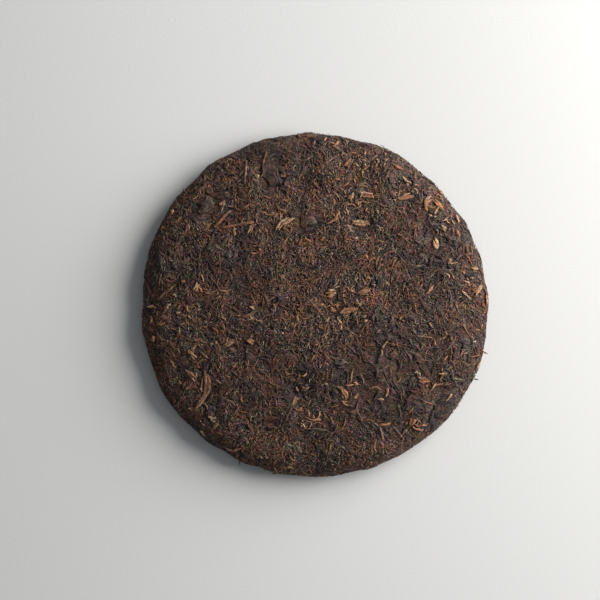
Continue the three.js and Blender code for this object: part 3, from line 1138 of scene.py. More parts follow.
@dataclass
class PackedCore:
    """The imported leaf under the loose-looking top layer: one closed surface with relief."""

    form: CakeForm
    cells: int = 80
    bed: float = 0.9
    grain: float = 0.2
    waves: int = 12
    way_step: float = 1.9
    way_tilt: float = 4.1
    wave_length: Span = Span(2.6, 7.55)
    bend_length: Span = Span(2.1, 4.3)
    bend_reach: float = 1.3
    phase_step: float = 2.3

    def sphere(self) -> tuple[np.ndarray, np.ndarray]:
        """A closed sphere of six square grids, welded.

        Each grid is (tan a, tan b, 1) for a and b from -45 to 45 degrees, scaled to length 1
        and turned to one side of a cube. Its corners that meet are made one.

        Returns:
            Unit directions and quads.
        """
        n = self.cells
        a = np.tan(np.linspace(-math.pi / 4, math.pi / 4, n + 1))
        gx, gy = np.meshgrid(a, a, indexing="ij")
        top = np.stack((gx, gy, np.ones_like(gx)), -1).reshape(-1, 3)
        turns = (
            (0, 1, 2, 1), (1, 2, 0, 1), (2, 0, 1, 1),
            (1, 0, 2, -1), (2, 1, 0, -1), (0, 2, 1, -1),
        )
        i = np.arange(n)
        corner = (i[:, None] * (n + 1) + i[None, :]).ravel()
        quad = np.stack((corner, corner + n + 1, corner + n + 2, corner + 1), -1)
        directions, quads = [], []
        for number, (p, q, r, sign) in enumerate(turns):
            part = np.empty_like(top)
            part[:, p], part[:, q], part[:, r] = top[:, 0], top[:, 1], sign * top[:, 2]
            directions.append(part)
            quads.append(quad + number * len(top))
        points = np.concatenate(directions)
        points /= np.linalg.norm(points, axis=1, keepdims=True)
        rounded = np.round(points, 7)
        _, first, same = np.unique(rounded, axis=0, return_index=True, return_inverse=True)
        return points[first], same.ravel()[np.concatenate(quads)]

    def mesh(self) -> MeshData:
        """Carries the sphere onto the section by area, with fine relief.

        The relief is a sum of short plane waves, each bent by another, so that it looks like
        packed strands and not like ripples.

        Returns:
            The core's mesh.
        """
        direction, quads = self.sphere()
        share = (1 - np.clip(direction[:, 2], -1, 1)) / 2
        along = np.interp(share, self.form.area, self.form.along)
        angle = np.arctan2(direction[:, 1], direction[:, 0])
        place = self.form.over(along, angle, np.zeros_like(along))
        relief = np.zeros_like(along)
        for i in range(self.waves):
            turned = i * self.way_step
            way = np.array((math.cos(turned), math.sin(turned), math.cos(i * self.way_tilt)))
            way /= np.linalg.norm(way)
            sideways = place @ np.roll(way, 1) / self.bend_length.at(i / (self.waves - 1))
            bent = place @ way + self.bend_reach * np.sin(sideways + i)
            length = self.wave_length.at(i / (self.waves - 1))
            relief += np.sin(TURN * bent / length + self.phase_step * i)
        lift = self.grain * relief * math.sqrt(2 / self.waves) - self.bed
        points = self.form.over(along, angle, lift)
        return MeshData(points, quads, np.empty((0, 3), int))


def linear(rgb: Colour) -> tuple[float, float, float, float]:
    """Turns display values from 0 to 255 into linear ones with an alpha of 1.

    Args:
        rgb: The display values.

    Returns:
        The linear colour.
    """
    value = np.array(rgb) / 255
    out = np.where(value <= 0.04045, value / 12.92, ((value + 0.055) / 1.055) ** 2.4)
    return (float(out[0]), float(out[1]), float(out[2]), 1.0)


class NodeBench:
    """Adds nodes to a tree and joins them by socket names."""

    def __init__(self, tree: bpy.types.NodeTree) -> None:
        """Takes the tree that it adds to.

        Args:
            tree: A material's or a group's tree.
        """
        self.tree = tree

    def add(self, kind: str, **settings: object) -> bpy.types.Node:
        """Adds a node and sets its properties.

        Args:
            kind: The node's type name.
            settings: Properties by name.

        Returns:
            The new node.
        """
        node = self.tree.nodes.new(kind)
        for name, value in settings.items():
            setattr(node, name, value)
        return node

    def join(self, source: Socket, target: Socket) -> None:
        """Joins an output to an input.

        Args:
            source: The output.
            target: The input.
        """
        self.tree.links.new(source, target)

    def feed(self, value: object, target: Socket) -> None:
        """Joins a socket to an input, or sets the input to a plain value.

        Args:
            value: A socket, number, vector or colour.
            target: The input.
        """
        if isinstance(value, Socket):
            self.join(value, target)
        else:
            target.default_value = value

    def maths(self, way: str, a: object, b: object, clamp: bool = False) -> Socket:
        """A Math node.

        Args:
            way: Its operation.
            a: First socket or number.
            b: Second socket or number.
            clamp: Whether the result is kept from 0 to 1.

        Returns:
            Its output.
        """
        node = self.add("ShaderNodeMath", operation=way, use_clamp=clamp)
        self.feed(a, node.inputs[0])
        self.feed(b, node.inputs[1])
        return node.outputs[0]

    def swing(self, base: Socket, source: Socket, gain: float, clamp: bool = False) -> Socket:
        """Adds gain * (source - 0.5) to a value.

        Args:
            base: The value.
            source: A mask or noise about 0.5.
            gain: How strongly it counts.
            clamp: Whether the result is kept from 0 to 1.

        Returns:
            The sum.
        """
        node = self.add("ShaderNodeMath", operation="MULTIPLY_ADD")
        self.join(source, node.inputs[0])
        node.inputs[1].default_value = gain
        node.inputs[2].default_value = -gain / 2
        return self.maths("ADD", base, node.outputs[0], clamp)

    def ramp(self, value: Socket, low: float, high: float) -> Socket:
        """Maps low to 0 and high to 1, clamped, on a smooth curve.

        Args:
            value: The value.
            low: What becomes 0.
            high: What becomes 1.

        Returns:
            The mapped value.
        """
        node = self.add("ShaderNodeMapRange", interpolation_type="SMOOTHSTEP")
        self.join(value, node.inputs["Value"])
        node.inputs["From Min"].default_value = low
        node.inputs["From Max"].default_value = high
        return node.outputs["Result"]

    def mix(self, amount: object, a: object, b: object, blend: str = "MIX") -> Socket:
        """A colour Mix node.

        Args:
            amount: Socket or number, from 0 for a to 1 for b.
            a: Socket or linear colour.
            b: Socket or linear colour.
            blend: Its blend type.

        Returns:
            Its output.
        """
        node = self.add("ShaderNodeMix", data_type="RGBA", blend_type=blend)
        for value, number in ((amount, 0), (a, 6), (b, 7)):
            self.feed(value, node.inputs[number])
        return node.outputs[2]

    def noise(
        self,
        vector: Socket,
        scale: float,
        detail: float = 3,
        rough: float = 0.55,
        distortion: float = 0,
    ) -> Socket:
        """A Noise Texture.

        Args:
            vector: Where it is read.
            scale: Its scale.
            detail: Its octaves.
            rough: How much the fine ones count.
            distortion: How much it is swirled.

        Returns:
            Its value.
        """
        node = self.add("ShaderNodeTexNoise", noise_dimensions="3D")
        self.join(vector, node.inputs["Vector"])
        node.inputs["Scale"].default_value = scale
        node.inputs["Detail"].default_value = detail
        node.inputs["Roughness"].default_value = rough
        node.inputs["Distortion"].default_value = distortion
        return node.outputs["Fac"]

    def stretched(self, vector: Socket, scale: tuple[float, float, float]) -> Socket:
        """Scales a vector.

        Args:
            vector: The vector.
            scale: Its factors.

        Returns:
            The scaled vector.
        """
        node = self.add("ShaderNodeMapping")
        self.join(vector, node.inputs["Vector"])
        node.inputs["Scale"].default_value = scale
        return node.outputs["Vector"]

    def warped(self, vector: Socket, scale: float, reach: float) -> Socket:
        """Pushes a vector about by noise.

        Args:
            vector: The vector.
            scale: The noise's scale.
            reach: How far it pushes.

        Returns:
            The pushed vector.
        """
        noise = self.add("ShaderNodeTexNoise", noise_dimensions="3D")
        self.join(vector, noise.inputs["Vector"])
        noise.inputs["Scale"].default_value = scale
        noise.inputs["Detail"].default_value = 2
        push = self.add("ShaderNodeVectorMath", operation="MULTIPLY_ADD")
        self.join(noise.outputs["Color"], push.inputs[0])
        push.inputs[1].default_value = (reach, reach, reach)
        self.join(vector, push.inputs[2])
        return push.outputs["Vector"]


@dataclass(frozen=True)
class GroupPlan:
    """Name of a shader group and of its sockets, and the kind of each output."""

    name: str
    colours: tuple[str, ...] = ()
    values: tuple[str, ...] = ()
    vectors: tuple[str, ...] = ()
    outputs: tuple[tuple[str, str], ...] = ()

    def start(self) -> tuple[bpy.types.NodeTree, NodeBench, bpy.types.Node, bpy.types.Node]:
        """Makes the empty group with its sockets.

        Returns:
            The group, its bench, its input node and its output node.
        """
        tree = bpy.data.node_groups.new(self.name, "ShaderNodeTree")
        face = tree.interface
        for labels, kind in (
            (self.colours, "NodeSocketColor"),
            (self.values, "NodeSocketFloat"),
            (self.vectors, "NodeSocketVector"),
        ):
            for label in labels:
                face.new_socket(label, in_out="INPUT", socket_type=kind)
        for label, kind in self.outputs:
            face.new_socket(label, in_out="OUTPUT", socket_type=kind)
        bench = NodeBench(tree)
        return tree, bench, bench.add("NodeGroupInput"), bench.add("NodeGroupOutput")


FIBRE_MASKS = ("Streak", "Fibre", "Speck", "Bit", "Hue", "Seam")


class LeafFibres:
    """Shader group: lengthwise fibres, creases, torn bits and specks of a dry leaf.

    Reads a vector whose x runs along the leaf and y across it, in millimetres. Puts out
    Streak, a mask of light fibres, Fibre, a value about 0.5 that changes from fibre to fibre,
    Height for bump, Speck, a mask of fine dots, Bit and Hue, two numbers that change from torn
    bit to torn bit, and Seam, a mask of where torn bits meet and of the long creases,
    which run where a slow noise passes through its middle value; the same mask sinks the bump,
    and the colour is darkened under it as painted shade. Stretches are the factors on the
    vector that each noise reads, smaller along the leaf than across it.
    """

    plan = GroupPlan(
        "leaf_fibres",
        vectors=("Vector",),
        outputs=tuple((label, "NodeSocketFloat") for label in FIBRE_MASKS + ("Height",)),
    )
    fibre_stretch = (0.16, 1.9, 1)
    crease_stretch = (0.35, 1.0, 1)
    fine_stretch = (1.2, 6.0, 1)
    bundle_stretch = (0.22, 1.7, 1)
    string_stretch = (0.13, 0.75, 1)
    bit_stretch = (0.62, 1.5, 1.5)
    speck_scale = 2.6
    seam_range = (0.38, 0.8)
    crease_range = (0.05, 0.012)
    streak_range = (0.4, 0.68)
    speck_range = (0.58, 0.75)
    fibre_height = 0.55
    crease_height = 0.7
    fine_height = 0.3
    seam_depth = 0.3

    @classmethod
    def group(cls) -> bpy.types.NodeTree:
        """Builds the group once.

        Returns:
            The group.
        """
        if cls.plan.name in bpy.data.node_groups:
            return bpy.data.node_groups[cls.plan.name]
        tree, bench, into, sink = cls.plan.start()
        source = into.outputs["Vector"]
        fibres = bench.stretched(source, cls.fibre_stretch)
        fibres = bench.noise(fibres, 1.0, detail=4, rough=0.6, distortion=0.25)
        creases = bench.stretched(source, cls.crease_stretch)
        creases = bench.noise(creases, 0.9, detail=3, rough=0.5, distortion=0.8)
        fine = bench.noise(bench.stretched(source, cls.fine_stretch), 1.0, detail=2, rough=0.6)
        bundles = bench.stretched(source, cls.bundle_stretch)
        bundles = bench.noise(bundles, 1.0, detail=3, rough=0.6, distortion=0.4)
        specks = bench.noise(source, cls.speck_scale, detail=2, rough=0.5)
        bits = bench.add("ShaderNodeTexVoronoi", feature="F1")
        crumpled = bench.warped(source, scale=0.8, reach=1.2)
        bench.join(bench.stretched(crumpled, cls.bit_stretch), bits.inputs["Vector"])
        bits.inputs["Scale"].default_value = 1.0
        split = bench.add("ShaderNodeSeparateColor")
        bench.join(bits.outputs["Color"], split.inputs[0])
        # Where torn bits meet and along the creases: this mask sinks the bump and also goes out to
        # darken the colour there as painted shade.
        gap_relief_and_shade = bench.ramp(bits.outputs["Distance"], *cls.seam_range)
        strings = bench.stretched(source, cls.string_stretch)
        strings = bench.noise(strings, 1.0, detail=1, rough=0.5, distortion=0.5)
        apart = bench.maths("ABSOLUTE", bench.maths("SUBTRACT", strings, 0.5), 0.0)
        gap_relief_and_shade = bench.maths("MAXIMUM", gap_relief_and_shade, bench.ramp(apart, *cls.crease_range))
        height = bench.maths("MULTIPLY", fibres, cls.fibre_height)
        height = bench.swing(height, creases, cls.crease_height)
        height = bench.swing(height, fine, cls.fine_height)
        height = bench.maths("SUBTRACT", height, bench.maths("MULTIPLY", gap_relief_and_shade, cls.seam_depth))
        for label, value in (
            ("Streak", bench.ramp(fibres, *cls.streak_range)),
            ("Fibre", bundles),
            ("Height", height),
            ("Speck", bench.ramp(specks, *cls.speck_range)),
            ("Bit", split.outputs[0]),
            ("Hue", split.outputs[1]),
            ("Seam", gap_relief_and_shade),
        ):
            bench.join(value, sink.inputs[label])
        return tree


class AgedColour:
    """Shader group: the colour of aged leaf, from dark to light and cool to warm.

    Dark, Light, Warm and Bloom are its colours. Tone and Warmth come from each leaf, and
    Streak, Fibre, Speck, Bit, Hue and Seam from its fibres; Speck lays on the bloom,
    and Seam is painted shade that darkens the colour towards Dark where torn bits
    meet and along the creases. Place is the spot on the cake in metres, which changes the colour
    from patch to patch and casts it a little to plum or olive; the patches are partly real tone
    and partly painted light, shifted so that the side towards the key comes out lighter. Stain
    is how strongly dark patches about a millimetre wide show, and Cast how strongly the plum
    and the olive do. Each gain is how far its mask or noise swings the lightness or the warmth
    about its own value.
    """

    plan = GroupPlan(
        "aged_colour",
        colours=("Dark", "Light", "Warm", "Bloom"),
        values=("Tone", "Warmth", "Stain", "Cast") + FIBRE_MASKS,
        vectors=("Place",),
        outputs=(("Colour", "NodeSocketColor"),),
    )
    patch_scale = 70
    # Shift of the patch noise, set so that its lighter patches fall on the side towards the key:
    # the patches are partly real tone and partly painted light.
    patch_shift = (-0.06, -0.51, 0.09)
    drift_scale = 120
    cloud_scale = 230
    mottle_scale = 1250
    stain_scale = 760
    plum = (1.1, 0.93, 1.07, 1)
    olive = (0.91, 1.04, 0.88, 1)
    streak_gain = 0.35
    mottle_gain = 1.7
    fibre_gain = 2.1
    cloud_gain = 0.75
    patch_gain = 1.25
    bit_gain = 0.45
    warm_patch_gain = 1.8
    warm_drift_gain = 4.2
    hue_gain = 0.4
    least_light = 0.3
    bloom_share = 0.4
    cast_range = (0.38, 0.62)
    stain_range = (0.46, 0.66)
    # How strongly the painted shade darkens where torn bits meet and along the creases.
    seam_share = 0.7

    @classmethod
    def group(cls) -> bpy.types.NodeTree:
        """Builds the group once.

        Returns:
            The group.
        """
        if cls.plan.name in bpy.data.node_groups:
            return bpy.data.node_groups[cls.plan.name]
        tree, bench, node, sink = cls.plan.start()
        into = node.outputs
        # Patches of lightness and warmth: partly real tone, partly painted light that is lighter
        # towards the key.
        moved = bench.add("ShaderNodeVectorMath", operation="ADD")
        bench.join(into["Place"], moved.inputs[0])
        moved.inputs[1].default_value = cls.patch_shift
        patches = bench.noise(moved.outputs["Vector"], cls.patch_scale, detail=3, rough=0.6)
        clouds = bench.noise(into["Place"], cls.cloud_scale, detail=2, rough=0.5)
        mottle = bench.noise(into["Place"], cls.mottle_scale, detail=3, rough=0.7)
        streaks = bench.maths("MULTIPLY", into["Streak"], cls.streak_gain)
        light = bench.maths("ADD", into["Tone"], streaks)
        light = bench.swing(light, mottle, cls.mottle_gain)
        light = bench.swing(light, into["Fibre"], cls.fibre_gain)
        light = bench.swing(light, clouds, cls.cloud_gain)
        light = bench.swing(light, patches, cls.patch_gain)
        light = bench.swing(light, into["Bit"], cls.bit_gain, clamp=True)
        colour = bench.mix(light, into["Dark"], into["Light"])
        drifts = bench.noise(into["Place"], cls.drift_scale, detail=2, rough=0.5)
        warm = bench.swing(into["Warmth"], patches, cls.warm_patch_gain)
        warm = bench.swing(warm, drifts, cls.warm_drift_gain)
        warm = bench.swing(warm, into["Hue"], cls.hue_gain, clamp=True)
        shown = bench.maths("ADD", light, cls.least_light, clamp=True)
        colour = bench.mix(bench.maths("MULTIPLY", warm, shown), colour, into["Warm"])
        bloom = bench.maths("MULTIPLY", into["Speck"], cls.bloom_share)
        colour = bench.mix(bloom, colour, into["Bloom"])
        cast = bench.ramp(clouds, *cls.cast_range)
        colour = bench.mix(into["Cast"], colour, bench.mix(cast, cls.plum, cls.olive), "MULTIPLY")
        stains = bench.noise(into["Place"], cls.stain_scale, detail=3, rough=0.65)
        stains = bench.ramp(stains, *cls.stain_range)
        # Painted shade: where torn bits meet and along the creases the colour is pulled to Dark as
        # if in shadow. Real dark stains share the same mask.
        painted_gap_shade = bench.maths("MULTIPLY", into["Seam"], cls.seam_share)
        stain_and_painted_shade = bench.maths("MAXIMUM", bench.maths("MULTIPLY", stains, into["Stain"]), painted_gap_shade)
        bench.join(bench.mix(stain_and_painted_shade, colour, into["Dark"]), sink.inputs["Colour"])
        return tree


@dataclass(frozen=True)
class LeafFinish:
    """The finish of one kind of leaf: its colours, roughness, sheen and depth of fibres.

    Fibres from height 0 up to the smooth height go from the high to the low roughness.
    """

    name: str
    dark: Colour
    light: Colour
    warm: Colour
    bloom: Colour
    rough_low: float = 0.42
    rough_high: float = 0.75
    sheen: float = 0.04
    specular: float = 0.2
    fibre_depth: float = 0.24
    stain: float = 0.2
    cast: float = 1.0
    follows_leaf: bool = True
    smooth_height: float = 0.5
    sheen_roughness: float = 0.5
    matted_cells: tuple[float, float, float] = (800, 1700, 1200)

    def material(self) -> bpy.types.Material:
        """Builds the material, whose colour, roughness and bump come from its fibres.

        Returns:
            The material.
        """
        material = bpy.data.materials.new(self.name)
        material.use_nodes = True
        material.node_tree.nodes.clear()
        bench = NodeBench(material.node_tree)
        shader = bench.add("ShaderNodeBsdfPrincipled")
        bench.join(shader.outputs[0], bench.add("ShaderNodeOutputMaterial").inputs["Surface"])
        place = bench.add("ShaderNodeTexCoord").outputs["Object"]
        if self.follows_leaf:
            run = bench.add("ShaderNodeUVMap", uv_map=UV_NAME).outputs["UV"]
            tone = bench.add("ShaderNodeAttribute", attribute_name="tone").outputs["Fac"]
            warmth = bench.add("ShaderNodeAttribute", attribute_name="warmth").outputs["Fac"]
        else:
            run, tone, warmth = self.matted(bench, place)
        fibres = bench.add("ShaderNodeGroup", node_tree=LeafFibres.group())
        bench.join(run, fibres.inputs["Vector"])
        aged = bench.add("ShaderNodeGroup", node_tree=AgedColour.group())
        for label in AgedColour.plan.colours:
            aged.inputs[label].default_value = linear(getattr(self, label.lower()))
        aged.inputs["Stain"].default_value = self.stain
        aged.inputs["Cast"].default_value = self.cast
        for socket, label in ((tone, "Tone"), (warmth, "Warmth"), (place, "Place")):
            bench.join(socket, aged.inputs[label])
        for label in FIBRE_MASKS:
            bench.join(fibres.outputs[label], aged.inputs[label])
        bench.join(aged.outputs["Colour"], shader.inputs["Base Color"])
        self.textured(bench, fibres.outputs["Height"], shader)
        shader.inputs["Sheen Weight"].default_value = self.sheen
        shader.inputs["Sheen Roughness"].default_value = self.sheen_roughness
        shader.inputs["Specular IOR Level"].default_value = self.specular
        return material

    def textured(self, bench: NodeBench, height: Socket, shader: bpy.types.Node) -> None:
        """Lets the fibres' height set the roughness and the bump.

        Args:
            bench: The material's bench.
            height: The fibres' height.
            shader: The material's shader.
        """
        rough = bench.add("ShaderNodeMapRange")
        bench.join(height, rough.inputs["Value"])
        for label, value in (
            ("From Min", 0.0),
            ("From Max", self.smooth_height),
            ("To Min", self.rough_high),
            ("To Max", self.rough_low),
        ):
            rough.inputs[label].default_value = value
        bench.join(rough.outputs["Result"], shader.inputs["Roughness"])
        bump = bench.add("ShaderNodeBump")
        bump.inputs["Strength"].default_value = 1.0
        bump.inputs["Distance"].default_value = self.fibre_depth * MM
        bench.join(height, bump.inputs["Height"])
        bench.join(bump.outputs["Normal"], shader.inputs["Normal"])

    def matted(self, bench: NodeBench, place: Socket) -> tuple[Socket, Socket, Socket]:
        """Where the fibres of the core lie, and its tone and warmth, which no leaf gives.

        Cells about a strand wide each take their own tone, and the fibres read the place
        itself, in millimetres.

        Args:
            bench: The material's bench.
            place: The spot on the cake in metres.

        Returns:
            The fibres' vector, tone and warmth.
        """
        scaled = bench.stretched(place, (1 / MM, 1 / MM, 1 / MM))
        cells = bench.add("ShaderNodeTexVoronoi", feature="F1")
        bench.join(bench.stretched(place, self.matted_cells), cells.inputs["Vector"])
        cells.inputs["Scale"].default_value = 1.0
        split = bench.add("ShaderNodeSeparateColor")
        bench.join(cells.outputs["Color"], split.inputs[0])
        return scaled, split.outputs[0], split.outputs[1]


DARK_FINISH = LeafFinish(
    "dark_leaf", (16, 14, 14), (105, 88, 82), (114, 74, 55), (129, 109, 102), stain=0.34
)
BROWN_FINISH = LeafFinish(
    "brown_leaf", (21, 17, 15), (135, 107, 92), (140, 93, 67), (159, 132, 118), stain=0.34
)
GREY_FINISH = LeafFinish(
    "grey_leaf", (18, 16, 16), (122, 107, 101), (113, 82, 68), (150, 134, 131), stain=0.34
)
FLAKE_FINISH = LeafFinish(
    "leaf_flake", (20, 17, 17), (89, 74, 72), (99, 69, 56), (119, 100, 94),
    stain=0.6, fibre_depth=0.34,
)
BUD_FINISH = LeafFinish(
    "golden_bud", (47, 36, 27), (203, 166, 132), (160, 107, 73), (203, 177, 151),
    rough_low=0.5, rough_high=0.85, sheen=0.1, fibre_depth=0.3, stain=0.26, cast=0.35,
)
STEM_FINISH = LeafFinish(
    "leaf_stem", (39, 29, 25), (148, 117, 100), (144, 95, 69), (163, 134, 118),
    rough_high=0.8, stain=0.5, cast=0.5,
)
DARK_CRUMB_FINISH = LeafFinish(
    "dark_crumb", (18, 15, 15), (126, 104, 96), (121, 84, 65), (153, 132, 123)
)
BROWN_CRUMB_FINISH = LeafFinish(
    "brown_crumb", (27, 21, 18), (155, 123, 105), (141, 92, 66), (172, 147, 132)
)
PALE_CRUMB_FINISH = LeafFinish(
    "pale_crumb", (54, 41, 33), (214, 181, 154), (158, 110, 81), (218, 194, 173), cast=0.5
)
CORE_FINISH = LeafFinish(
    "packed_core", (16, 14, 14), (98, 83, 77), (100, 70, 56), (121, 104, 97), follows_leaf=False
)

STRAND = LeafShape(sides=4, rings=3, blunt=0.6, ridges=0.32, wobble=0.09)
CRUMB = LeafShape(sides=3, rings=2, ridges=0.5, end_ring=0.55)
BUD = LeafShape(sides=5, rings=6, taper=2.0, blunt=0.75, ridges=0.38, wobble=0.12)
GOLDEN_BUDS = LeafKind(
    "golden_buds", Slot.GOLDEN_BUD, 700, BUD,
    length=Span(1.5, 7.5, 1.7), width=Span(0.5, 1.7, 1.4), thickness=Span(0.4, 0.8),
    lift=Span(-0.4, 0.15, 0.8), cap=0.3, bend=70, sway=35, twist=40,
    tone=Span(0.04, 0.72, 1.6), warmth=Span(0.1, 1), clustered=0.8,
)
PATCH_BITS = replace(
    GOLDEN_BUDS,
    length=Span(1.2, 6, 1.3), width=Span(0.5, 1.6, 1.3), lift=Span(0.0, 0.3), cap=0.36,
    tone=Span(0.2, 0.9, 1.2), warmth=Span(0.1, 0.9),
)
KINDS: tuple[tuple[LeafKind, LeafFinish], ...] = (
    (
        LeafKind(
            "dark_leaves", Slot.PRESSED_LEAF, 4600, STRAND,
            length=Span(2.2, 9.5, 1.5), width=Span(0.6, 2.5, 1.6), thickness=Span(0.18, 0.38),
            lift=Span(-0.6, 0.1, 0.8), tone=Span(0.14, 0.68), warmth=Span(0.05, 0.55, 1.5),
        ),
        DARK_FINISH,
    ),
    (
        LeafKind(
            "brown_leaves", Slot.PRESSED_LEAF, 4300, STRAND,
            length=Span(1.8, 9, 1.5), width=Span(0.5, 2.1, 1.6), thickness=Span(0.17, 0.35),
            lift=Span(-0.5, 0.1, 0.8), tone=Span(0.14, 0.66), warmth=Span(0.1, 0.85, 1.2),
            clustered=0.3,
        ),
        BROWN_FINISH,
    ),
    (
        LeafKind(
            "grey_leaves", Slot.PRESSED_LEAF, 3400, STRAND,
            length=Span(1.8, 9, 1.5), width=Span(0.5, 2.1, 1.6), thickness=Span(0.17, 0.35),
            lift=Span(-0.5, 0.1, 0.8), tone=Span(0.14, 0.74), warmth=Span(0.05, 0.55, 1.5),
            clustered=0.2,
        ),
        GREY_FINISH,
    ),
    (
        LeafKind(
            "leaf_flakes", Slot.PRESSED_LEAF, 420,
            LeafShape(sides=8, rings=6, blunt=0.45, taper=3, ridges=0.25, wave=0.15),
            length=Span(4, 8), width=Span(2.2, 4.5, 1.4), thickness=Span(0.3, 0.5),
            lift=Span(-0.4, 0.1, 0.8), cap=0.22, bend=15, sway=10, roll=9, twist=18,
            tone=Span(0, 0.7), warmth=Span(0, 0.8),
        ),
        FLAKE_FINISH,
    ),
    (GOLDEN_BUDS, BUD_FINISH),
    (
        LeafKind(
            "leaf_stems", Slot.LEAF_STEM, 260,
            LeafShape(sides=5, rings=6, taper=8, blunt=0.5, ridges=0.15),
            length=Span(4, 13, 1.5), width=Span(0.4, 1.1), thickness=Span(0.4, 0.8),
            lift=Span(-0.4, 0.15), cap=0.3, bend=20, sway=16, pitch=3, tone=Span(0, 0.6),
        ),
        STEM_FINISH,
    ),
    (
        LeafKind(
            "dark_crumbs", Slot.PRESSED_LEAF, 14500, CRUMB,
            length=Span(0.7, 3.4, 1.5), width=Span(0.22, 0.85, 1.4), thickness=Span(0.15, 0.32),
            lift=Span(-0.4, 0.14), cap=0.2, pitch=6, tone=Span(0, 1, 1.2), warmth=Span(0, 0.8, 1.3),
        ),
        DARK_CRUMB_FINISH,
    ),
    (
        LeafKind(
            "brown_crumbs", Slot.PRESSED_LEAF, 13500, CRUMB,
            length=Span(0.7, 3.4, 1.5), width=Span(0.22, 0.8, 1.4), thickness=Span(0.15, 0.32),
            lift=Span(-0.4, 0.14), cap=0.2, pitch=6, tone=Span(0, 1, 1.3), clustered=0.3,
        ),
        BROWN_CRUMB_FINISH,
    ),
    (
        LeafKind(
            "pale_crumbs", Slot.GOLDEN_BUD, 7500, CRUMB,
            length=Span(0.7, 3.2, 1.5), width=Span(0.22, 0.8, 1.3), thickness=Span(0.2, 0.4),
            lift=Span(-0.3, 0.17), cap=0.23, pitch=6, tone=Span(0, 1, 1.6), clustered=0.6,
        ),
        PALE_CRUMB_FINISH,
    ),
)
BROAD_SHAPE = LeafShape(sides=8, rings=11, blunt=0.75, ridges=0.16, wave=0.12)


@dataclass
class TeaCake:
    """The whole cake: its packed core and every kind of leaf on it."""

    form: CakeForm = field(default_factory=CakeForm)
    seed: int = 20077
    stray_cap: float = 20.0
    cleared_share: float = 1.3

    def shown(self, rng: np.random.Generator) -> dict[str, Leaves]:
        """The pieces that the face shows at known places, by the kind that they belong to.

        Args:
            rng: Seeded draws.

        Returns:
            Their leaves.
        """
        frayed, whole = Frayed(), Frayed(strand_width=WHOLE_PIECE)
        buds = frayed.leaves(self.form, BUDS, rng, height=1.0, lift=0.2)
        stems = whole.leaves(self.form, STEMS, rng, height=0.9, lift=0.2)
        flakes = whole.leaves(self.form, BROAD_FLAKES, rng, height=0.5, lift=0.05, cap=0.24)
        return {"golden_buds": buds, "leaf_stems": stems, "leaf_flakes": flakes}

    def gathered(self, rng: np.random.Generator) -> dict[str, Leaves]:
        """Golden bits in their patches and stray stems at the rim, by kind.

        Args:
            rng: Seeded draws.

        Returns:
            Their leaves.
        """
        patches = [patch.scatter(self.form, PATCH_BITS, rng) for patch in PATCHES]
        whole = Frayed(strand_width=WHOLE_PIECE)
        strays = whole.leaves(self.form, STRAYS, rng, height=0.8, lift=0.9, cap=self.stray_cap)
        return {"golden_buds": Leaves.joined(*patches), "leaf_stems": strays}

    def build(self) -> list[bpy.types.Object]:
        """Builds, dresses and attaches every piece to the root body.

        Returns:
            The pieces, the core first.
        """
        relief = PackedCore(self.form).mesh()
        core = self.finished(relief, "packed_core", Slot.PRESSED_LEAF, CORE_FINISH)
        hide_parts("tea_cake")
        pieces = [core]
        rng = np.random.default_rng(self.seed)
        broad = BROAD_SHAPE.build(self.form, StrewnLeaves().leaves(self.form, rng), rng)
        pieces.append(self.finished(broad, "broad_leaves", Slot.PRESSED_LEAF, FLAKE_FINISH))
        shown, gathered = self.shown(rng), self.gathered(rng)
        cleared = [
            Clearing.over(kind.shape, shown[kind.name], self.cleared_share)
            for kind, _ in KINDS
            if kind.name in shown
        ]
        for kind, finish in KINDS:
            leaves = kind.scatter(self.form, rng)
            if kind.name in gathered:
                leaves = Leaves.joined(leaves, gathered[kind.name])
            for clearing in cleared:
                leaves = leaves.kept(clearing.spares(leaves, rng))
            if kind.name in shown:
                leaves = Leaves.joined(leaves, shown[kind.name])
            mesh = kind.shape.build(self.form, leaves, rng)
            pieces.append(self.finished(mesh, kind.name, kind.slot, finish))
        return pieces

    @staticmethod
    def finished(mesh: MeshData, name: str, slot: Slot, finish: LeafFinish) -> bpy.types.Object:
        """Args:
            mesh: Its arrays.
            name: Its name.
            slot: The record's slot for the piece; not used.
            finish: Its finish.

        Returns:
            The piece.
        """
        piece = mesh.to_object(name)
        known = bpy.data.materials.get(finish.name)
        piece.data.materials.append(known or finish.material())
        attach(piece, "root")
        LOG.info("%s: %d triangles", name, 2 * len(mesh.quads) + len(mesh.triangles))
        return piece


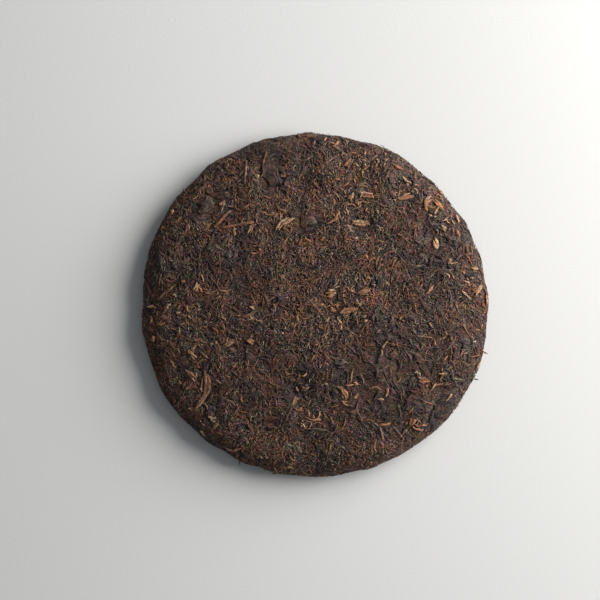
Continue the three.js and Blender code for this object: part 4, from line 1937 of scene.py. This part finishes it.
@dataclass
class Studio:
    """Plain pale floor, soft light and a camera straight above, sizes in metres."""

    frame_width: float = 0.3372
    camera_height: float = 1.8
    waist: float = 0.0082
    centre: tuple[float, float] = (-0.00798, 0.00303)
    sensor: float = 36.0
    key_power: float = 28.2
    key_azimuth: float = 22.0
    key_elevation: float = 25.0
    key_distance: float = 1.0
    key_size: float = 1.15
    fill_near: float = 0.44
    fill_far: float = 0.09
    key_tint: tuple[float, float, float] = (1.0, 0.985, 0.96)
    sky_tint: tuple[float, float, float, float] = (0.93, 0.96, 1.0, 1)
    floor_half: float = 2.0
    floor_colour: Colour = (207, 207, 206)
    floor_roughness: float = 0.9
    floor_grain: float = 0.0002
    floor_grain_share: float = 0.3
    floor_grain_scale: float = 900
    farthest_seen: float = 20

    def floor(self) -> None:
        """Lays a wide pale floor with a faint grain under the cake."""
        half = self.floor_half / MM
        points = np.array([(-half, -half, 0), (half, -half, 0), (half, half, 0), (-half, half, 0)])
        floor = MeshData(points, np.array([(0, 1, 2, 3)]), np.empty((0, 3), int)).to_object("floor")
        material = bpy.data.materials.new("pale_floor")
        material.use_nodes = True
        bench = NodeBench(material.node_tree)
        shader = material.node_tree.nodes["Principled BSDF"]
        shader.inputs["Base Color"].default_value = linear(self.floor_colour)
        shader.inputs["Roughness"].default_value = self.floor_roughness
        place = bench.add("ShaderNodeTexCoord").outputs["Object"]
        bump = bench.add("ShaderNodeBump")
        bump.inputs["Distance"].default_value = self.floor_grain
        bump.inputs["Strength"].default_value = self.floor_grain_share
        bench.join(bench.noise(place, self.floor_grain_scale, detail=2), bump.inputs["Height"])
        bench.join(bump.outputs["Normal"], shader.inputs["Normal"])
        floor.data.materials.append(material)

    def light(self) -> None:
        """Sets a low soft key to the upper right, and an even pale sky for fill."""
        azimuth, elevation = math.radians(self.key_azimuth), math.radians(self.key_elevation)
        lamp = bpy.data.lights.new("key", "AREA")
        lamp.shape = "DISK"
        lamp.size = self.key_size
        lamp.energy = self.key_power
        lamp.color = self.key_tint
        key = bpy.data.objects.new("key", lamp)
        flat = self.key_distance * math.cos(elevation)
        height = self.key_distance * math.sin(elevation)
        key.location = (flat * math.cos(azimuth), flat * math.sin(azimuth), height)
        key.rotation_euler = (-key.location).to_track_quat("-Z", "Y").to_euler()
        bpy.context.scene.collection.objects.link(key)
        bpy.context.scene.world = self.sky((math.cos(azimuth), math.sin(azimuth), 0.0))

    def sky(self, near: tuple[float, float, float]) -> bpy.types.World:
        """Makes a pale sky that is brighter on the key's side, as a room by a window is.

        Args:
            near: The level direction of the key.

        Returns:
            The world.
        """
        world = bpy.data.worlds.new("studio")
        world.use_nodes = True
        bench = NodeBench(world.node_tree)
        background = world.node_tree.nodes["Background"]
        background.inputs["Color"].default_value = self.sky_tint
        side = bench.add("ShaderNodeVectorMath", operation="DOT_PRODUCT")
        bench.join(bench.add("ShaderNodeTexCoord").outputs["Generated"], side.inputs[0])
        side.inputs[1].default_value = near
        strength = bench.add("ShaderNodeMapRange")
        bench.join(side.outputs["Value"], strength.inputs["Value"])
        for label, value in (
            ("From Min", -1.0),
            ("To Min", self.fill_far),
            ("To Max", self.fill_near),
        ):
            strength.inputs[label].default_value = value
        bench.join(strength.outputs["Result"], background.inputs["Strength"])
        return world

    def camera(self) -> None:
        """Sets a long lens straight above, upright as the photo is."""
        data = bpy.data.cameras.new("camera")
        data.sensor_width = self.sensor
        data.lens = self.sensor * (self.camera_height - self.waist) / self.frame_width
        data.clip_end = self.farthest_seen
        camera = bpy.data.objects.new("camera", data)
        camera.location = (*self.centre, self.camera_height)
        bpy.context.scene.collection.objects.link(camera)
        bpy.context.scene.camera = camera

    def build(self) -> None:
        """Sets the floor, the light, the camera and a plain view of the colours."""
        self.floor()
        self.light()
        self.camera()
        view = bpy.context.scene.view_settings
        view.view_transform = "Standard"
        view.look = "None"


def main() -> None:
    """Builds the cake, then the studio."""
    logging.basicConfig(level=logging.INFO, format="%(name)s: %(message)s")
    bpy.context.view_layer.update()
    pieces = TeaCake().build()
    Studio().build()
    total = sum(len(f.vertices) - 2 for piece in pieces for f in piece.data.polygons)
    LOG.info("%d pieces, %d triangles", len(pieces), total)


if __name__ == "__main__":
    main()
